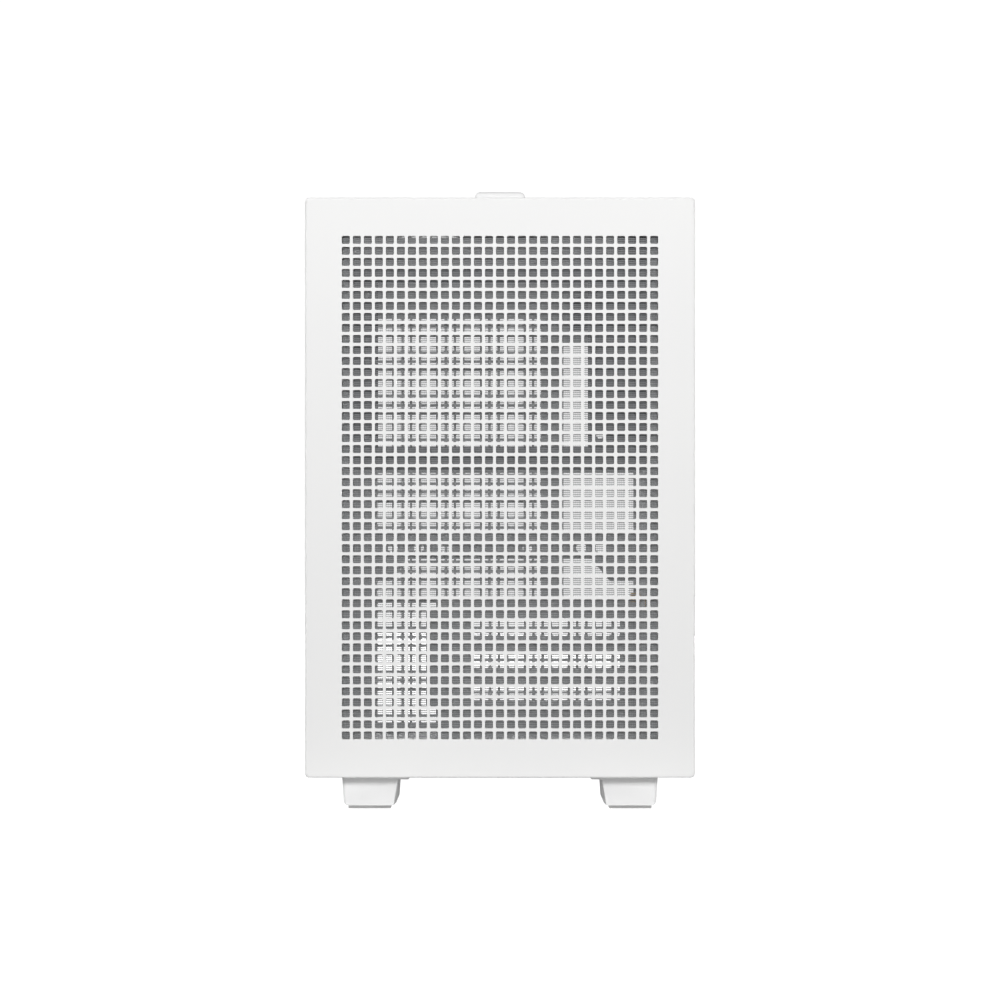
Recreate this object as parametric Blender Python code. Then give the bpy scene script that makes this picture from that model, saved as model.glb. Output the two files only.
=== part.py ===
"""Compact white desktop computer tower: the empty chassis with its panels, filters, handle and ports.

Metres, +Z up. The front faces -Y, and the origin is under the middle of the case, on the table.
The fine square perforation is drawn here as a few wide windows with the same open share.
"""
import math

import bmesh
import bpy
from mathutils import Matrix, Vector

# Overall sizes
WIDTH = 0.195                # across the side panels
BODY_HEIGHT = 0.290          # panels only, without feet and handle
BODY_DEPTH = 0.331           # front face to rear panel edge
REAR_OVERHANG = 0.005        # what stands behind the rear edge, such as thumbscrew heads
FOOT_HEIGHT = 0.0165         # table to underside of the case

# Sheet metal
SHEET = 0.001                # thickness of every steel panel
GAP = 0.0003                 # clearance between pieces that touch
PAST = 0.001                 # how far a cutter reaches beyond what it cuts
FRONT_PAN_DEPTH = 0.015      # fold of the front panel round its edge
SIDE_RETURN = 0.008          # inward fold of a side panel
REAR_RETURN = 0.0135         # inward fold behind the rear wall, which takes the thumbscrews
TOP_FOLD = 0.012             # fold of the top panel down the sides
LID_PLAIN = 0.103            # plain front part of the top panel
LID_REAR = 0.015             # its plain strip at the rear
FRAME_STANDOFF = 0.0025      # front panel fold to front frame
FRAME_FLANGE = 0.008

# Perforation
HOLE = 0.004                 # real square hole
HOLE_PITCH = 0.0055          # real spacing
WINDOW_PITCH = 0.032         # spacing of the wide windows that stand for the holes
BEZEL_SIDE = 0.0185
BEZEL_TOP = 0.01925

# Ball studs of the front panel
BALL_RADIUS = 0.0026
SOCKET_BORE = 0.003

# Front dust filter
FILTER_BORDER = 0.0045
FILTER_THICK = 0.0015
NET_THICK = 0.0004

# Openings of the front frame, the power supply bracket and the brace
FRAME_STILE = 0.0152         # width of the frame's upright
FRAME_SILL = 0.0125
FRAME_HEAD = 0.0155
PSU_HEIGHT = 0.0835          # opening for a standard power supply's end
PSU_LIP = 0.0115             # bracket below the opening
PSU_HEAD = 0.009
PSU_LEFT = 0.0272            # from the frame's outer edge to the opening
PSU_RIGHT = 0.0445
PSU_TOP_DROP = 0.0405        # case top to opening top
SHELF_LENGTH = 0.128
SHELF_FOLD = 0.008
BRACE_BOTTOM = 0.098         # above the underside
BRACE_DEEP = 0.0255          # at its ends
BRACE_SLIM = 0.014           # over the middle
BRACE_END = 0.0318           # length of each deep end at its foot
BRACE_HOLE = 0.0025

# Rear wall
SLOT_PITCH = 0.02032
SLOT_COUNT = 3
SLOT_FIRST = 0.0245          # lowest slot's middle above the underside
SLOT_OPENING = 0.0145
COVER_HEIGHT = 0.0184
COVER_LENGTH = 0.116
TAB_HEIGHT = 0.013
TAB_REACH = 0.0071
SLOT_SCREW_INSET = 0.0027    # screw's middle to the tab's end
SLOT_SCREW_HOLE = 0.0016
IO_LENGTH = 0.15875          # standard motherboard connector opening
IO_WIDTH = 0.04445
IO_BASE = 0.0845             # above the underside
BOARD_SIDE = 0.170           # mini-ITX board
STANDOFF = 0.0062
STANDOFF_RADIUS = 0.003
BOARD_HOLES_UP = 0.15748
BOARD_HOLES_BACK = 0.15494
VENT_MARGIN = 0.0195         # case side to the vents
VENT_TO_IO = 0.0135
VENT_TOP_DROP = 0.0295
LOW_VENT_WIDTH = 0.040
LOW_VENT_BASE = 0.004
VENT_SPLIT = 0.003           # strip between the lower and the main vent

# Mains inlet
INLET_FLANGE = (0.050, 0.026)
INLET_BODY = (0.027, 0.020)
INLET_RECESS = (0.023, 0.016)
INLET_DEPTH = 0.022
INLET_FLANGE_THICK = 0.002
INLET_TOP_DROP = 0.0275
INLET_SCREW_X = 0.020
BLADE = (0.002, 0.0145, 0.004)

# Feet
FOOT_X = 0.0654
FOOT_TOP_WIDTH = 0.0282
FOOT_BOTTOM_WIDTH = 0.0265
FOOT_LENGTH = 0.045
FOOT_INSET = 0.008           # behind the front face, and ahead of the rear edge twice over
FOOT_BEVEL = 0.0014
FOOT_TAB = (0.0064, 0.0012)
PAD_THICK = 0.0017
PAD_WIDTH = 0.0214
PAD_SHORTER = 0.008

# Bottom dust filter
TRAY_FILTER_WIDTH = 0.076
TRAY_FILTER_LENGTH = 0.240
TRAY_FILTER_THICK = 0.0018
TRAY_FILTER_BORDER = 0.005
RAIL_WALL = 0.0037
RAIL_LIP = 0.0009

# Handle
HANDLE_LENGTH = 0.230
HANDLE_WIDTH = 0.026
HANDLE_HEIGHT = 0.0101
HANDLE_BEVEL = 0.0024
CAP_LENGTH = 0.027
GRIP_LENGTH = 0.1014
GRIP_WIDTH = 0.024
GRIP_SINK = 0.0004           # grip top below the caps' top
STRAP_WIDTH = 0.020
STRAP_THICK = 0.0038
STRAP_RISE = 0.0028          # underside of the strap above the caps' foot
STRAP_HIDDEN = 0.0195        # length inside a cap

# Ports on the top panel
PORT_ROW_X = 0.0225          # from the case side
BUTTON_RADIUS = 0.0065
BUTTON_FLANGE = 0.0012
BUTTON_EDGE = 0.0004
PLUNGER_RADIUS = 0.0015
SWITCH_HALF = 0.003
BUTTON_Y = 0.0095            # behind the housing's front, as the next four
LIGHT_Y = 0.0205
USB_C_Y = 0.032
USB_A_Y = 0.049
JACK_Y = 0.066
USB_C_SHELL = (0.0032, 0.0090)
USB_A_SHELL = (0.0058, 0.0132)
SHELL_WALL = 0.0004
PORT_CLEARANCE = 0.0007
PORT_DEPTH = 0.0085
JACK_BODY = 0.009
JACK_NECK = 0.0032
JACK_BORE = 0.00175
PORT_TOP_SINK = 0.0006       # port mouths below the panel face
HOUSING_HALF = 0.011
HOUSING_LENGTH = 0.078
HOUSING_HEIGHT = 0.0215
HOUSING_WALL = 0.0012
BOARD_THICK = 0.0016

# Thumbscrews
SCREW_X = 0.006              # from the case side
SCREW_HEAD = 0.005
SCREW_SHAFT = 0.0016

# Derived planes
HALF = WIDTH / 2
BOTTOM = FOOT_HEIGHT
TOP = BOTTOM + BODY_HEIGHT
FRONT = -(BODY_DEPTH + REAR_OVERHANG) / 2
REAR = FRONT + BODY_DEPTH
BACK = REAR + REAR_OVERHANG
PAN_BACK = FRONT + FRONT_PAN_DEPTH
CHASSIS_HALF = HALF - SIDE_RETURN - GAP
FRAME_FRONT = PAN_BACK + FRAME_STANDOFF
FRAME_BACK = FRAME_FRONT + FRAME_FLANGE
WALL_BACK = REAR - SHEET - GAP
WALL_FRONT = WALL_BACK - SHEET
SKIN_UNDER = TOP - SHEET
TRAY_FACE = CHASSIS_HALF - SHEET
BOARD_X = TRAY_FACE - STANDOFF - GAP
FIELD_X = HALF - BEZEL_SIDE
FIELD_LOW = BOTTOM + BEZEL_TOP
FIELD_HIGH = TOP - BEZEL_TOP
SIDE_TOP = TOP - TOP_FOLD - GAP
PORT_X = HALF - PORT_ROW_X
PORTS_FRONT = FRAME_BACK + 2 * GAP
OPEN_SHARE = HOLE / HOLE_PITCH
IO_RIGHT = BOARD_X + 0.0026
IO_LEFT = IO_RIGHT - IO_WIDTH
IO_LOW = BOTTOM + IO_BASE
IO_HIGH = IO_LOW + IO_LENGTH
TOP_FRAME_Z = TOP - 0.0065


def clear_scene():
    for obj in list(bpy.data.objects):
        bpy.data.objects.remove(obj, do_unlink=True)


def material(name, colour, roughness, metallic=0.0):
    """Principled finish for one kind of piece."""
    finish = bpy.data.materials.new(name)
    finish.use_nodes = True
    shader = finish.node_tree.nodes["Principled BSDF"]
    shader.inputs["Base Color"].default_value = (*colour, 1.0)
    shader.inputs["Roughness"].default_value = roughness
    shader.inputs["Metallic"].default_value = metallic
    return finish


def box(bm, low, high):
    """Block between two corners."""
    size = [b - a for a, b in zip(low, high)]
    centre = [(a + b) / 2 for a, b in zip(low, high)]
    place = Matrix.Translation(centre) @ Matrix.Diagonal((*size, 1.0))
    bmesh.ops.create_cube(bm, size=1.0, matrix=place)


def turned(bm, centre, axis, profile, segments=16):
    """Turn (radius, height) points round an axis and close both ends."""
    turn = {"X": Matrix.Rotation(math.radians(90), 4, "Y"),
            "Y": Matrix.Rotation(math.radians(-90), 4, "X"),
            "Z": Matrix.Identity(4)}[axis]
    place = Matrix.Translation(centre) @ turn
    rings = []
    for radius, height in profile:
        ring = []
        for step in range(segments):
            angle = 2 * math.pi * step / segments
            point = Vector((radius * math.cos(angle), radius * math.sin(angle), height))
            ring.append(bm.verts.new(place @ point))
        rings.append(ring)
    for lower, upper in zip(rings, rings[1:]):
        for step in range(segments):
            after = (step + 1) % segments
            bm.faces.new((lower[step], lower[after], upper[after], upper[step]))
    bm.faces.new(list(reversed(rings[0])))
    bm.faces.new(rings[-1])


def prism(bm, outline, low_y, high_y):
    """Extrude an (x, z) outline along Y."""
    near = [bm.verts.new((x, low_y, z)) for x, z in outline]
    far = [bm.verts.new((x, high_y, z)) for x, z in outline]
    bm.faces.new(near)
    bm.faces.new(list(reversed(far)))
    count = len(outline)
    for step in range(count):
        after = (step + 1) % count
        bm.faces.new((near[after], near[step], far[step], far[after]))


def make(name, bm, finish, origin=(0.0, 0.0, 0.0)):
    """Turn a bmesh into a named object whose origin is at the given point."""
    bmesh.ops.recalc_face_normals(bm, faces=bm.faces)
    bmesh.ops.translate(bm, verts=bm.verts, vec=[-value for value in origin])
    mesh = bpy.data.meshes.new(name)
    bm.to_mesh(mesh)
    bm.free()
    mesh.materials.append(finish)
    obj = bpy.data.objects.new(name, mesh)
    obj.location = origin
    bpy.context.scene.collection.objects.link(obj)
    return obj


def operate(target, operation, boxes=(), turns=(), prisms=()):
    """Cut or join simple shapes with one Boolean; the tool object stays hidden."""
    bm = bmesh.new()
    for low, high in boxes:
        box(bm, low, high)
    for centre, axis, profile in turns:
        turned(bm, centre, axis, profile)
    for outline, low_y, high_y in prisms:
        prism(bm, outline, low_y, high_y)
    tool = make(target.name + "_tool", bm, target.data.materials[0])
    tool.hide_render = True
    tool.display_type = "WIRE"
    modifier = target.modifiers.new(operation.lower(), "BOOLEAN")
    modifier.operation = operation
    modifier.solver = "EXACT"
    modifier.object = tool
    return target


def cut(target, boxes=(), turns=(), prisms=()):
    return operate(target, "DIFFERENCE", boxes, turns, prisms)


def block(name, low, high, finish, origin=(0.0, 0.0, 0.0)):
    bm = bmesh.new()
    box(bm, low, high)
    return make(name, bm, finish, origin)


def guide(name, place):
    """Empty on a joint's axis, which carries the pieces that move with it."""
    empty = bpy.data.objects.new(name, None)
    empty.location = place
    empty.empty_display_size = 0.01
    empty.hide_render = True
    bpy.context.scene.collection.objects.link(empty)
    return empty


def carry(empty, pieces):
    for piece in pieces:
        piece.parent = empty
        piece.matrix_parent_inverse = Matrix.Translation([-value for value in empty.location])


def windows(low_u, high_u, low_v, high_v):
    """Rectangles that stand for a perforated field, with the same open share."""
    cells = []
    columns = max(1, round((high_u - low_u) / WINDOW_PITCH))
    rows = max(1, round((high_v - low_v) / WINDOW_PITCH))
    step_u = (high_u - low_u) / columns
    step_v = (high_v - low_v) / rows
    for column in range(columns):
        for row in range(rows):
            mid_u = low_u + (column + 0.5) * step_u
            mid_v = low_v + (row + 0.5) * step_v
            half_u = step_u * OPEN_SHARE / 2
            half_v = step_v * OPEN_SHARE / 2
            cells.append((mid_u - half_u, mid_u + half_u, mid_v - half_v, mid_v + half_v))
    return cells


def across_y(cells, low, high):
    return [((u0, low, v0), (u1, high, v1)) for u0, u1, v0, v1 in cells]


def across_x(cells, low, high):
    return [((low, u0, v0), (high, u1, v1)) for u0, u1, v0, v1 in cells]


def across_z(cells, low, high):
    return [((u0, v0, low), (u1, v1, high)) for u0, u1, v0, v1 in cells]


def rod(radius, length):
    return [(radius, 0.0), (radius, length)]


def front_panel():
    """Perforated pan that covers the whole front, on four ball studs."""
    panel = block("front_panel", (-HALF, FRONT, BOTTOM), (HALF, PAN_BACK, TOP), WHITE_STEEL)
    inside = ((-HALF + SHEET, FRONT + SHEET, BOTTOM + SHEET), (HALF - SHEET, PAN_BACK + PAST, TOP - SHEET))
    cut(panel, [inside])
    field = windows(-FIELD_X, FIELD_X, FIELD_LOW, FIELD_HIGH)
    cut(panel, across_y(field, FRONT - PAST, FRONT + 2 * SHEET))
    return panel


def clip_places():
    places = []
    for side in (-1, 1):
        for height in (BOTTOM + 0.009, TOP - 0.009):
            places.append((side * (HALF - 0.015), height))
    return places


def front_panel_studs():
    """Ball studs on the panel's back, one in each corner."""
    base = FRONT + SHEET + GAP
    ball = FRAME_FRONT + 0.0023 - base
    profile = [(0.004, 0.0), (0.004, 0.0015), (0.0016, 0.0015), (0.0016, ball - 0.002)]
    for degrees in (-30, 0, 30, 60):
        angle = math.radians(degrees)
        profile.append((BALL_RADIUS * math.cos(angle), ball + BALL_RADIUS * math.sin(angle)))
    studs = []
    for index, (x, z) in enumerate(clip_places()):
        bm = bmesh.new()
        turned(bm, (x, base, z), "Y", profile, 12)
        studs.append(make("front_panel_stud_" + str(index + 1), bm, BARE_STEEL))
    return studs


def front_filter():
    low_y = FRONT + SHEET + GAP
    border = FILTER_BORDER
    frame = block("front_filter_frame",
                  (-FIELD_X - border, low_y, FIELD_LOW - border),
                  (FIELD_X + border, low_y + FILTER_THICK, FIELD_HIGH + border), WHITE_PLASTIC)
    cut(frame, [((-FIELD_X, low_y - 0.001, FIELD_LOW), (FIELD_X, low_y + 0.004, FIELD_HIGH))])
    net_y = low_y + (FILTER_THICK - NET_THICK) / 2
    net = block("front_filter_net",
                (-FIELD_X + GAP, net_y, FIELD_LOW + GAP),
                (FIELD_X - GAP, net_y + NET_THICK, FIELD_HIGH - GAP), NET)
    return [frame, net]


def front_frame():
    """Steel ring behind the front panel, with a fold round its outer edge."""
    low = BOTTOM + SHEET + GAP
    high = TOP - SHEET - GAP
    frame = block("front_frame", (-CHASSIS_HALF, FRAME_FRONT, low), (CHASSIS_HALF, FRAME_BACK, high),
                  INNER_STEEL)
    hollow = ((-CHASSIS_HALF + SHEET, FRAME_FRONT + SHEET, low + SHEET),
              (CHASSIS_HALF - SHEET, FRAME_BACK + 0.001, high - SHEET))
    cut(frame, [hollow])
    mouth = ((-CHASSIS_HALF + FRAME_STILE, FRAME_FRONT - 0.001, low + FRAME_SILL),
             (CHASSIS_HALF - FRAME_STILE, FRAME_FRONT + 0.003, high - FRAME_HEAD))
    sockets = [((x, FRAME_FRONT - 0.001, z), "Y", rod(SOCKET_BORE, 0.004)) for x, z in clip_places()]
    cut(frame, [mouth], sockets)
    return frame


def bracket_span():
    """Half width and near face of what is riveted to the back of the front frame."""
    return CHASSIS_HALF - SHEET - 2 * GAP, FRAME_FRONT + SHEET + GAP


def psu_bracket():
    """Plate that the end of a power supply is screwed to."""
    half, near = bracket_span()
    high = TOP - PSU_TOP_DROP
    low = high - PSU_HEIGHT
    plate = block("psu_bracket", (-half, near, low - PSU_LIP), (half, near + SHEET, high + PSU_HEAD),
                  GREY_STEEL)
    left = -CHASSIS_HALF + PSU_LEFT
    right = CHASSIS_HALF - PSU_RIGHT
    holes = []
    for x in (left - 0.006, right + 0.006):
        for z in (low + 0.006, high - 0.006):
            holes.append(((x, near - 0.001, z), "Y", rod(0.0018, 0.004)))
    cut(plate, [((left, near - 0.001, low), (right, near + 0.003, high))], holes)
    return plate


def psu_shelf():
    """Shelf under the power supply, folded down at its front and back."""
    half, near = bracket_span()
    level = TOP - PSU_TOP_DROP - PSU_HEIGHT - 0.001
    start = near + SHEET + GAP
    half = half - FRAME_FLANGE
    bm = bmesh.new()
    box(bm, (-half, start, level - SHELF_FOLD), (half, start + SHELF_LENGTH, level))
    shelf = make("psu_shelf", bm, INNER_STEEL)
    under = ((-half - PAST, start + SHEET, level - SHELF_FOLD - PAST),
             (half + PAST, start + SHELF_LENGTH - SHEET, level - SHEET))
    cut(shelf, [under])
    field = windows(-half + 0.015, half - 0.015, start + 0.015, start + SHELF_LENGTH - 0.015)
    cut(shelf, across_z(field, level - 0.002, level + 0.001))
    return shelf


def front_cross_brace():
    """Brace across the frame, deeper at its ends, with a row of fixing holes."""
    half, near = bracket_span()
    low = BOTTOM + BRACE_BOTTOM
    high = low + BRACE_DEEP
    middle = high - BRACE_SLIM
    slope = half - BRACE_END
    outline = [(-half, low), (-slope, low), (-slope + 0.0095, middle), (slope - 0.0095, middle),
               (slope, low), (half, low), (half, high), (-half, high)]
    bm = bmesh.new()
    prism(bm, outline, near, near + SHEET)
    brace = make("front_cross_brace", bm, INNER_STEEL)
    holes = []
    for share in (-0.75, -0.62, -0.47, -0.32, 0.16, 0.33, 0.47, 0.58):
        holes.append(((share * half, near - 0.001, high - 0.0085), "Y", rod(BRACE_HOLE, 0.004)))
    cut(brace, turns=holes)
    return brace


def chassis_floor():
    near = PAN_BACK + 2 * GAP
    plate = block("chassis_floor", (-CHASSIS_HALF, near, BOTTOM),
                  (CHASSIS_HALF, WALL_FRONT - GAP, BOTTOM + SHEET), INNER_STEEL)
    half = TRAY_FILTER_WIDTH / 2 - TRAY_FILTER_BORDER
    field = windows(-half, half, -TRAY_FILTER_LENGTH / 2 + 0.01, TRAY_FILTER_LENGTH / 2 - 0.01)
    screws = [((x, y, BOTTOM - 0.001), "Z", rod(0.002, 0.004)) for x, y in foot_screw_places()]
    cut(plate, across_z(field, BOTTOM - 0.001, BOTTOM + 0.002), screws)
    return plate


def io_opening():
    return ((IO_LEFT, WALL_FRONT - 0.001, IO_LOW), (IO_RIGHT, WALL_BACK + 0.001, IO_HIGH))


def slot_heights():
    return [BOTTOM + SLOT_FIRST + index * SLOT_PITCH for index in range(SLOT_COUNT)]


COVER_RIGHT = BOARD_X + 0.0018
COVER_LEFT = COVER_RIGHT - COVER_LENGTH


def thumbscrew_places():
    places = {}
    for side, label in ((-1, "left"), (1, "right")):
        places["thumbscrew_" + label + "_lower"] = (side * (HALF - SCREW_X), BOTTOM + 0.026)
        places["thumbscrew_" + label + "_upper"] = (side * (HALF - SCREW_X), TOP - 0.036)
    return places


def inlet_centre():
    return (HALF - REAR_RETURN - 0.001 - INLET_FLANGE[0] / 2, TOP - INLET_TOP_DROP)


def inlet_screw_places():
    x, z = inlet_centre()
    return [(x - INLET_SCREW_X, z), (x + INLET_SCREW_X, z)]


def rear_wall():
    """Rear wall with vents, card slots, connector opening and mains inlet."""
    low = BOTTOM + SHEET + GAP
    high = TOP - SHEET - GAP
    half = HALF - SHEET - GAP
    wall = block("rear_wall", (-half, WALL_FRONT, low), (half, WALL_BACK, high), INNER_STEEL)
    near = WALL_FRONT - 0.001
    far = WALL_BACK + 0.001
    shoulder = SIDE_TOP - SHEET - GAP
    corners = []
    for side in (-1, 1):
        edges = sorted((side * CHASSIS_HALF, side * (HALF + 0.001)))
        corners.append(((edges[0], near, shoulder), (edges[1], far, TOP + 0.001)))
    cut(wall, corners)
    openings = [io_opening()]
    for height in slot_heights():
        openings.append(((COVER_LEFT - 0.0016, near, height - SLOT_OPENING / 2),
                         (COVER_RIGHT - 0.005, far, height + SLOT_OPENING / 2)))
    x, z = inlet_centre()
    openings.append(((x - INLET_BODY[0] / 2 - GAP, near, z - INLET_BODY[1] / 2 - GAP),
                     (x + INLET_BODY[0] / 2 + GAP, far, z + INLET_BODY[1] / 2 + GAP)))
    left = -HALF + VENT_MARGIN
    main = windows(left, IO_LEFT - VENT_TO_IO, IO_LOW, TOP - VENT_TOP_DROP)
    lower = windows(left, left + LOW_VENT_WIDTH, BOTTOM + LOW_VENT_BASE, IO_LOW - VENT_SPLIT)
    openings += across_y(main + lower, near, far)
    holes = [((x, near, z), "Y", rod(SCREW_SHAFT + 0.0003, 0.003)) for x, z in thumbscrew_places().values()]
    holes += [((x, near, z), "Y", rod(0.0018, 0.003)) for x, z in inlet_screw_places()]
    cut(wall, openings, holes)
    return wall


def slot_covers():
    """Three perforated covers, each with a tab bent backwards for its screw."""
    covers = []
    face = WALL_FRONT - GAP
    for index, height in enumerate(slot_heights()):
        bm = bmesh.new()
        box(bm, (COVER_LEFT, face - SHEET, height - COVER_HEIGHT / 2),
            (COVER_RIGHT, face, height + COVER_HEIGHT / 2))
        cover = make("slot_cover_" + str(index + 1), bm, BARE_STEEL)
        tab = ((COVER_LEFT, face - SHEET / 2, height - TAB_HEIGHT / 2),
               (COVER_LEFT + SHEET, face + TAB_REACH, height + TAB_HEIGHT / 2))
        operate(cover, "UNION", [tab])
        field = windows(COVER_LEFT + 0.016, COVER_RIGHT - 0.008, height - 0.005, height + 0.005)
        hole = ((COVER_LEFT - PAST, face + TAB_REACH - SLOT_SCREW_INSET, height), "X",
                rod(SLOT_SCREW_HOLE, 3 * SHEET))
        cut(cover, across_y(field, face - 0.002, face + 0.001), [hole])
        covers.append(cover)
    return covers


def slot_rail():
    """Rail behind the wall that the covers' tabs are screwed to."""
    heights = slot_heights()
    low = heights[0] - SLOT_PITCH / 2
    high = heights[-1] + SLOT_PITCH / 2
    edge = COVER_LEFT - GAP
    near = WALL_BACK + GAP
    outline_low = (edge - 0.014, near, low)
    rail = block("slot_screw_rail", outline_low, (edge, near + 0.0055, high), BARE_STEEL)
    waste = ((edge - 0.015, near + SHEET, low - 0.001), (edge - SHEET, near + 0.0065, high + 0.001))
    holes = []
    for height in heights:
        depth = WALL_FRONT - GAP + TAB_REACH - SLOT_SCREW_INSET
        holes.append(((edge - 0.002, depth, height), "X", rod(SLOT_SCREW_HOLE, 0.003)))
    cut(rail, [waste])
    cut(rail, turns=holes)
    return rail


def slot_screws():
    depth = WALL_FRONT - GAP + TAB_REACH - SLOT_SCREW_INSET
    seat = COVER_LEFT + SHEET + GAP
    shank = SLOT_SCREW_HOLE - GAP
    profile = [(shank, -0.0045), (shank, 0.0), (0.0026, 0.0), (0.0026, 0.0018)]
    for index, height in enumerate(slot_heights()):
        bm = bmesh.new()
        turned(bm, (seat, depth, height), "X", profile, 10)
        make("slot_cover_screw_" + str(index + 1), bm, BARE_STEEL)


def mains_inlet():
    """Mains inlet with its recess and three blades."""
    x, z = inlet_centre()
    face = WALL_BACK + GAP
    flange = block("mains_inlet",
                   (x - INLET_FLANGE[0] / 2, face, z - INLET_FLANGE[1] / 2),
                   (x + INLET_FLANGE[0] / 2, face + INLET_FLANGE_THICK, z + INLET_FLANGE[1] / 2),
                   BLACK_PLASTIC)
    back = face + INLET_FLANGE_THICK - INLET_DEPTH
    body = ((x - INLET_BODY[0] / 2, back, z - INLET_BODY[1] / 2),
            (x + INLET_BODY[0] / 2, face + INLET_FLANGE_THICK / 2, z + INLET_BODY[1] / 2))
    operate(flange, "UNION", [body])
    recess = ((x - INLET_RECESS[0] / 2, back + 0.003, z - INLET_RECESS[1] / 2),
              (x + INLET_RECESS[0] / 2, face + 0.003, z + INLET_RECESS[1] / 2))
    holes = [((sx, face - 0.001, sz), "Y", rod(0.0018, 0.005)) for sx, sz in inlet_screw_places()]
    cut(flange, [recess], holes)
    start = back + 0.002
    blades = []
    for dx, dz in ((-0.007, -0.002), (0.0, 0.002), (0.007, -0.002)):
        blades.append(((x + dx - BLADE[0] / 2, start, z + dz - BLADE[2] / 2),
                       (x + dx + BLADE[0] / 2, start + BLADE[1], z + dz + BLADE[2] / 2)))
    return operate(flange, "UNION", blades)


def motherboard_tray():
    """Upright tray on the right, with a window behind the processor and two cable slots."""
    near = FRAME_BACK + GAP
    far = WALL_FRONT - GAP
    low = BOTTOM + SHEET + GAP
    high = TOP_FRAME_Z - GAP
    tray = block("motherboard_tray", (TRAY_FACE, near, low), (CHASSIS_HALF, far, high), INNER_STEEL)
    board_low = IO_LOW - 0.0065
    middle = board_low + BOARD_SIDE / 2
    opening = ((TRAY_FACE - PAST, far - 0.125, middle - 0.032),
               (CHASSIS_HALF + PAST, far - 0.045, middle + 0.048))
    slots = []
    for z in (board_low - 0.02, board_low + BOARD_SIDE + 0.004):
        slots.append(((TRAY_FACE - 0.001, near + 0.03, z), (CHASSIS_HALF + 0.001, near + 0.09, z + 0.012)))
    cut(tray, [opening] + slots)
    return tray


def motherboard_standoffs():
    low = IO_LOW - 0.0065 + 0.00635
    far = WALL_FRONT - 0.0015 - 0.01016
    places = [(far - dy, low + dz) for dy in (0.0, BOARD_HOLES_BACK) for dz in (0.0, BOARD_HOLES_UP)]
    for index, (y, z) in enumerate(places):
        bm = bmesh.new()
        turned(bm, (BOARD_X, y, z), "X", rod(STANDOFF_RADIUS, STANDOFF), 6)
        make("motherboard_standoff_" + str(index + 1), bm, BRASS)


def top_frame():
    """Plate under the top panel, with one wide opening towards the front."""
    near = FRAME_BACK + GAP
    far = WALL_FRONT - GAP
    plate = block("top_frame", (-CHASSIS_HALF, near, TOP_FRAME_Z), (CHASSIS_HALF, far, TOP_FRAME_Z + SHEET),
                  INNER_STEEL)
    fan = ((-CHASSIS_HALF + 0.032, near + 0.012, TOP_FRAME_Z - 0.001),
           (CHASSIS_HALF - 0.071, near + 0.092, TOP_FRAME_Z + 0.002))
    housing = ((PORT_X - HOUSING_HALF - GAP, near - 0.001, TOP_FRAME_Z - 0.001),
               (PORT_X + HOUSING_HALF + GAP, near + HOUSING_LENGTH + 2 * GAP, TOP_FRAME_Z + 0.002))
    cut(plate, [fan, housing])
    return plate


def top_panel():
    """Perforated lid with folds down both sides and the rear."""
    near = PAN_BACK + GAP
    panel = block("top_panel", (-HALF, near, TOP - TOP_FOLD), (HALF, REAR, TOP), WHITE_STEEL)
    cut(panel, [((-HALF + SHEET, near - PAST, TOP - TOP_FOLD - PAST),
                 (HALF - SHEET, REAR - SHEET, TOP - SHEET))])
    strip = HANDLE_WIDTH / 2 + 0.009
    edge = HALF - BEZEL_SIDE
    fields = windows(-edge, -strip, near + LID_PLAIN, REAR - LID_REAR)
    fields += windows(strip, edge, near + LID_PLAIN, REAR - LID_REAR)
    slits = []
    for width, length, y in ((*USB_C_SHELL, USB_C_Y), (*USB_A_SHELL, USB_A_Y)):
        half_x = width / 2 + PORT_CLEARANCE
        half_y = length / 2 + PORT_CLEARANCE
        slits.append(((PORT_X - half_x, PORTS_FRONT + y - half_y, TOP - 0.002),
                      (PORT_X + half_x, PORTS_FRONT + y + half_y, TOP + 0.001)))
    rounds = [((PORT_X, PORTS_FRONT + BUTTON_Y, TOP - 0.002), "Z", rod(BUTTON_RADIUS + GAP, 0.004)),
              ((PORT_X, PORTS_FRONT + LIGHT_Y, TOP - 0.002), "Z", rod(0.0013, 0.004)),
              ((PORT_X, PORTS_FRONT + JACK_Y, TOP - 0.002), "Z", rod(0.0035, 0.004))]
    rounds += [((x, y, TOP - 0.002), "Z", rod(0.0019, 0.004)) for x, y in handle_screw_places()]
    cut(panel, across_z(fields, TOP - 0.002, TOP + 0.001) + slits, rounds)
    return panel


def side_panel(name, side):
    """Perforated side panel with folds on four edges; the rear fold is the deepest."""
    near = PAN_BACK + GAP
    inner = side * (HALF - REAR_RETURN)
    outer = side * HALF
    skin = side * (HALF - SHEET)
    fold = side * (HALF - SIDE_RETURN)

    def span(a, b, low, high):
        return ((min(a, b), low[0], low[1]), (max(a, b), high[0], high[1]))

    low, high = span(inner, outer, (near, BOTTOM), (REAR, SIDE_TOP))
    panel = block(name, low, high, WHITE_STEEL)
    past = side * (HALF - REAR_RETURN - 0.001)
    cut(panel, [span(past, skin, (near + SHEET, BOTTOM + SHEET), (REAR - SHEET, SIDE_TOP - SHEET))])
    cut(panel, [span(past, fold, (near - 0.001, BOTTOM - 0.001), (REAR - SHEET, SIDE_TOP + 0.001))])
    field = windows(near + 0.028, REAR - 0.028, BOTTOM + 0.022, SIDE_TOP - 0.018)
    holes = []
    for screw, (x, z) in thumbscrew_places().items():
        if side * x > 0:
            holes.append(((x, REAR - SHEET - 0.001, z), "Y", rod(SCREW_SHAFT + 0.0006, 0.003)))
    walls = across_x(field, min(skin, outer) - 0.001, max(skin, outer) + 0.001)
    cut(panel, walls, holes)
    return panel


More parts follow.
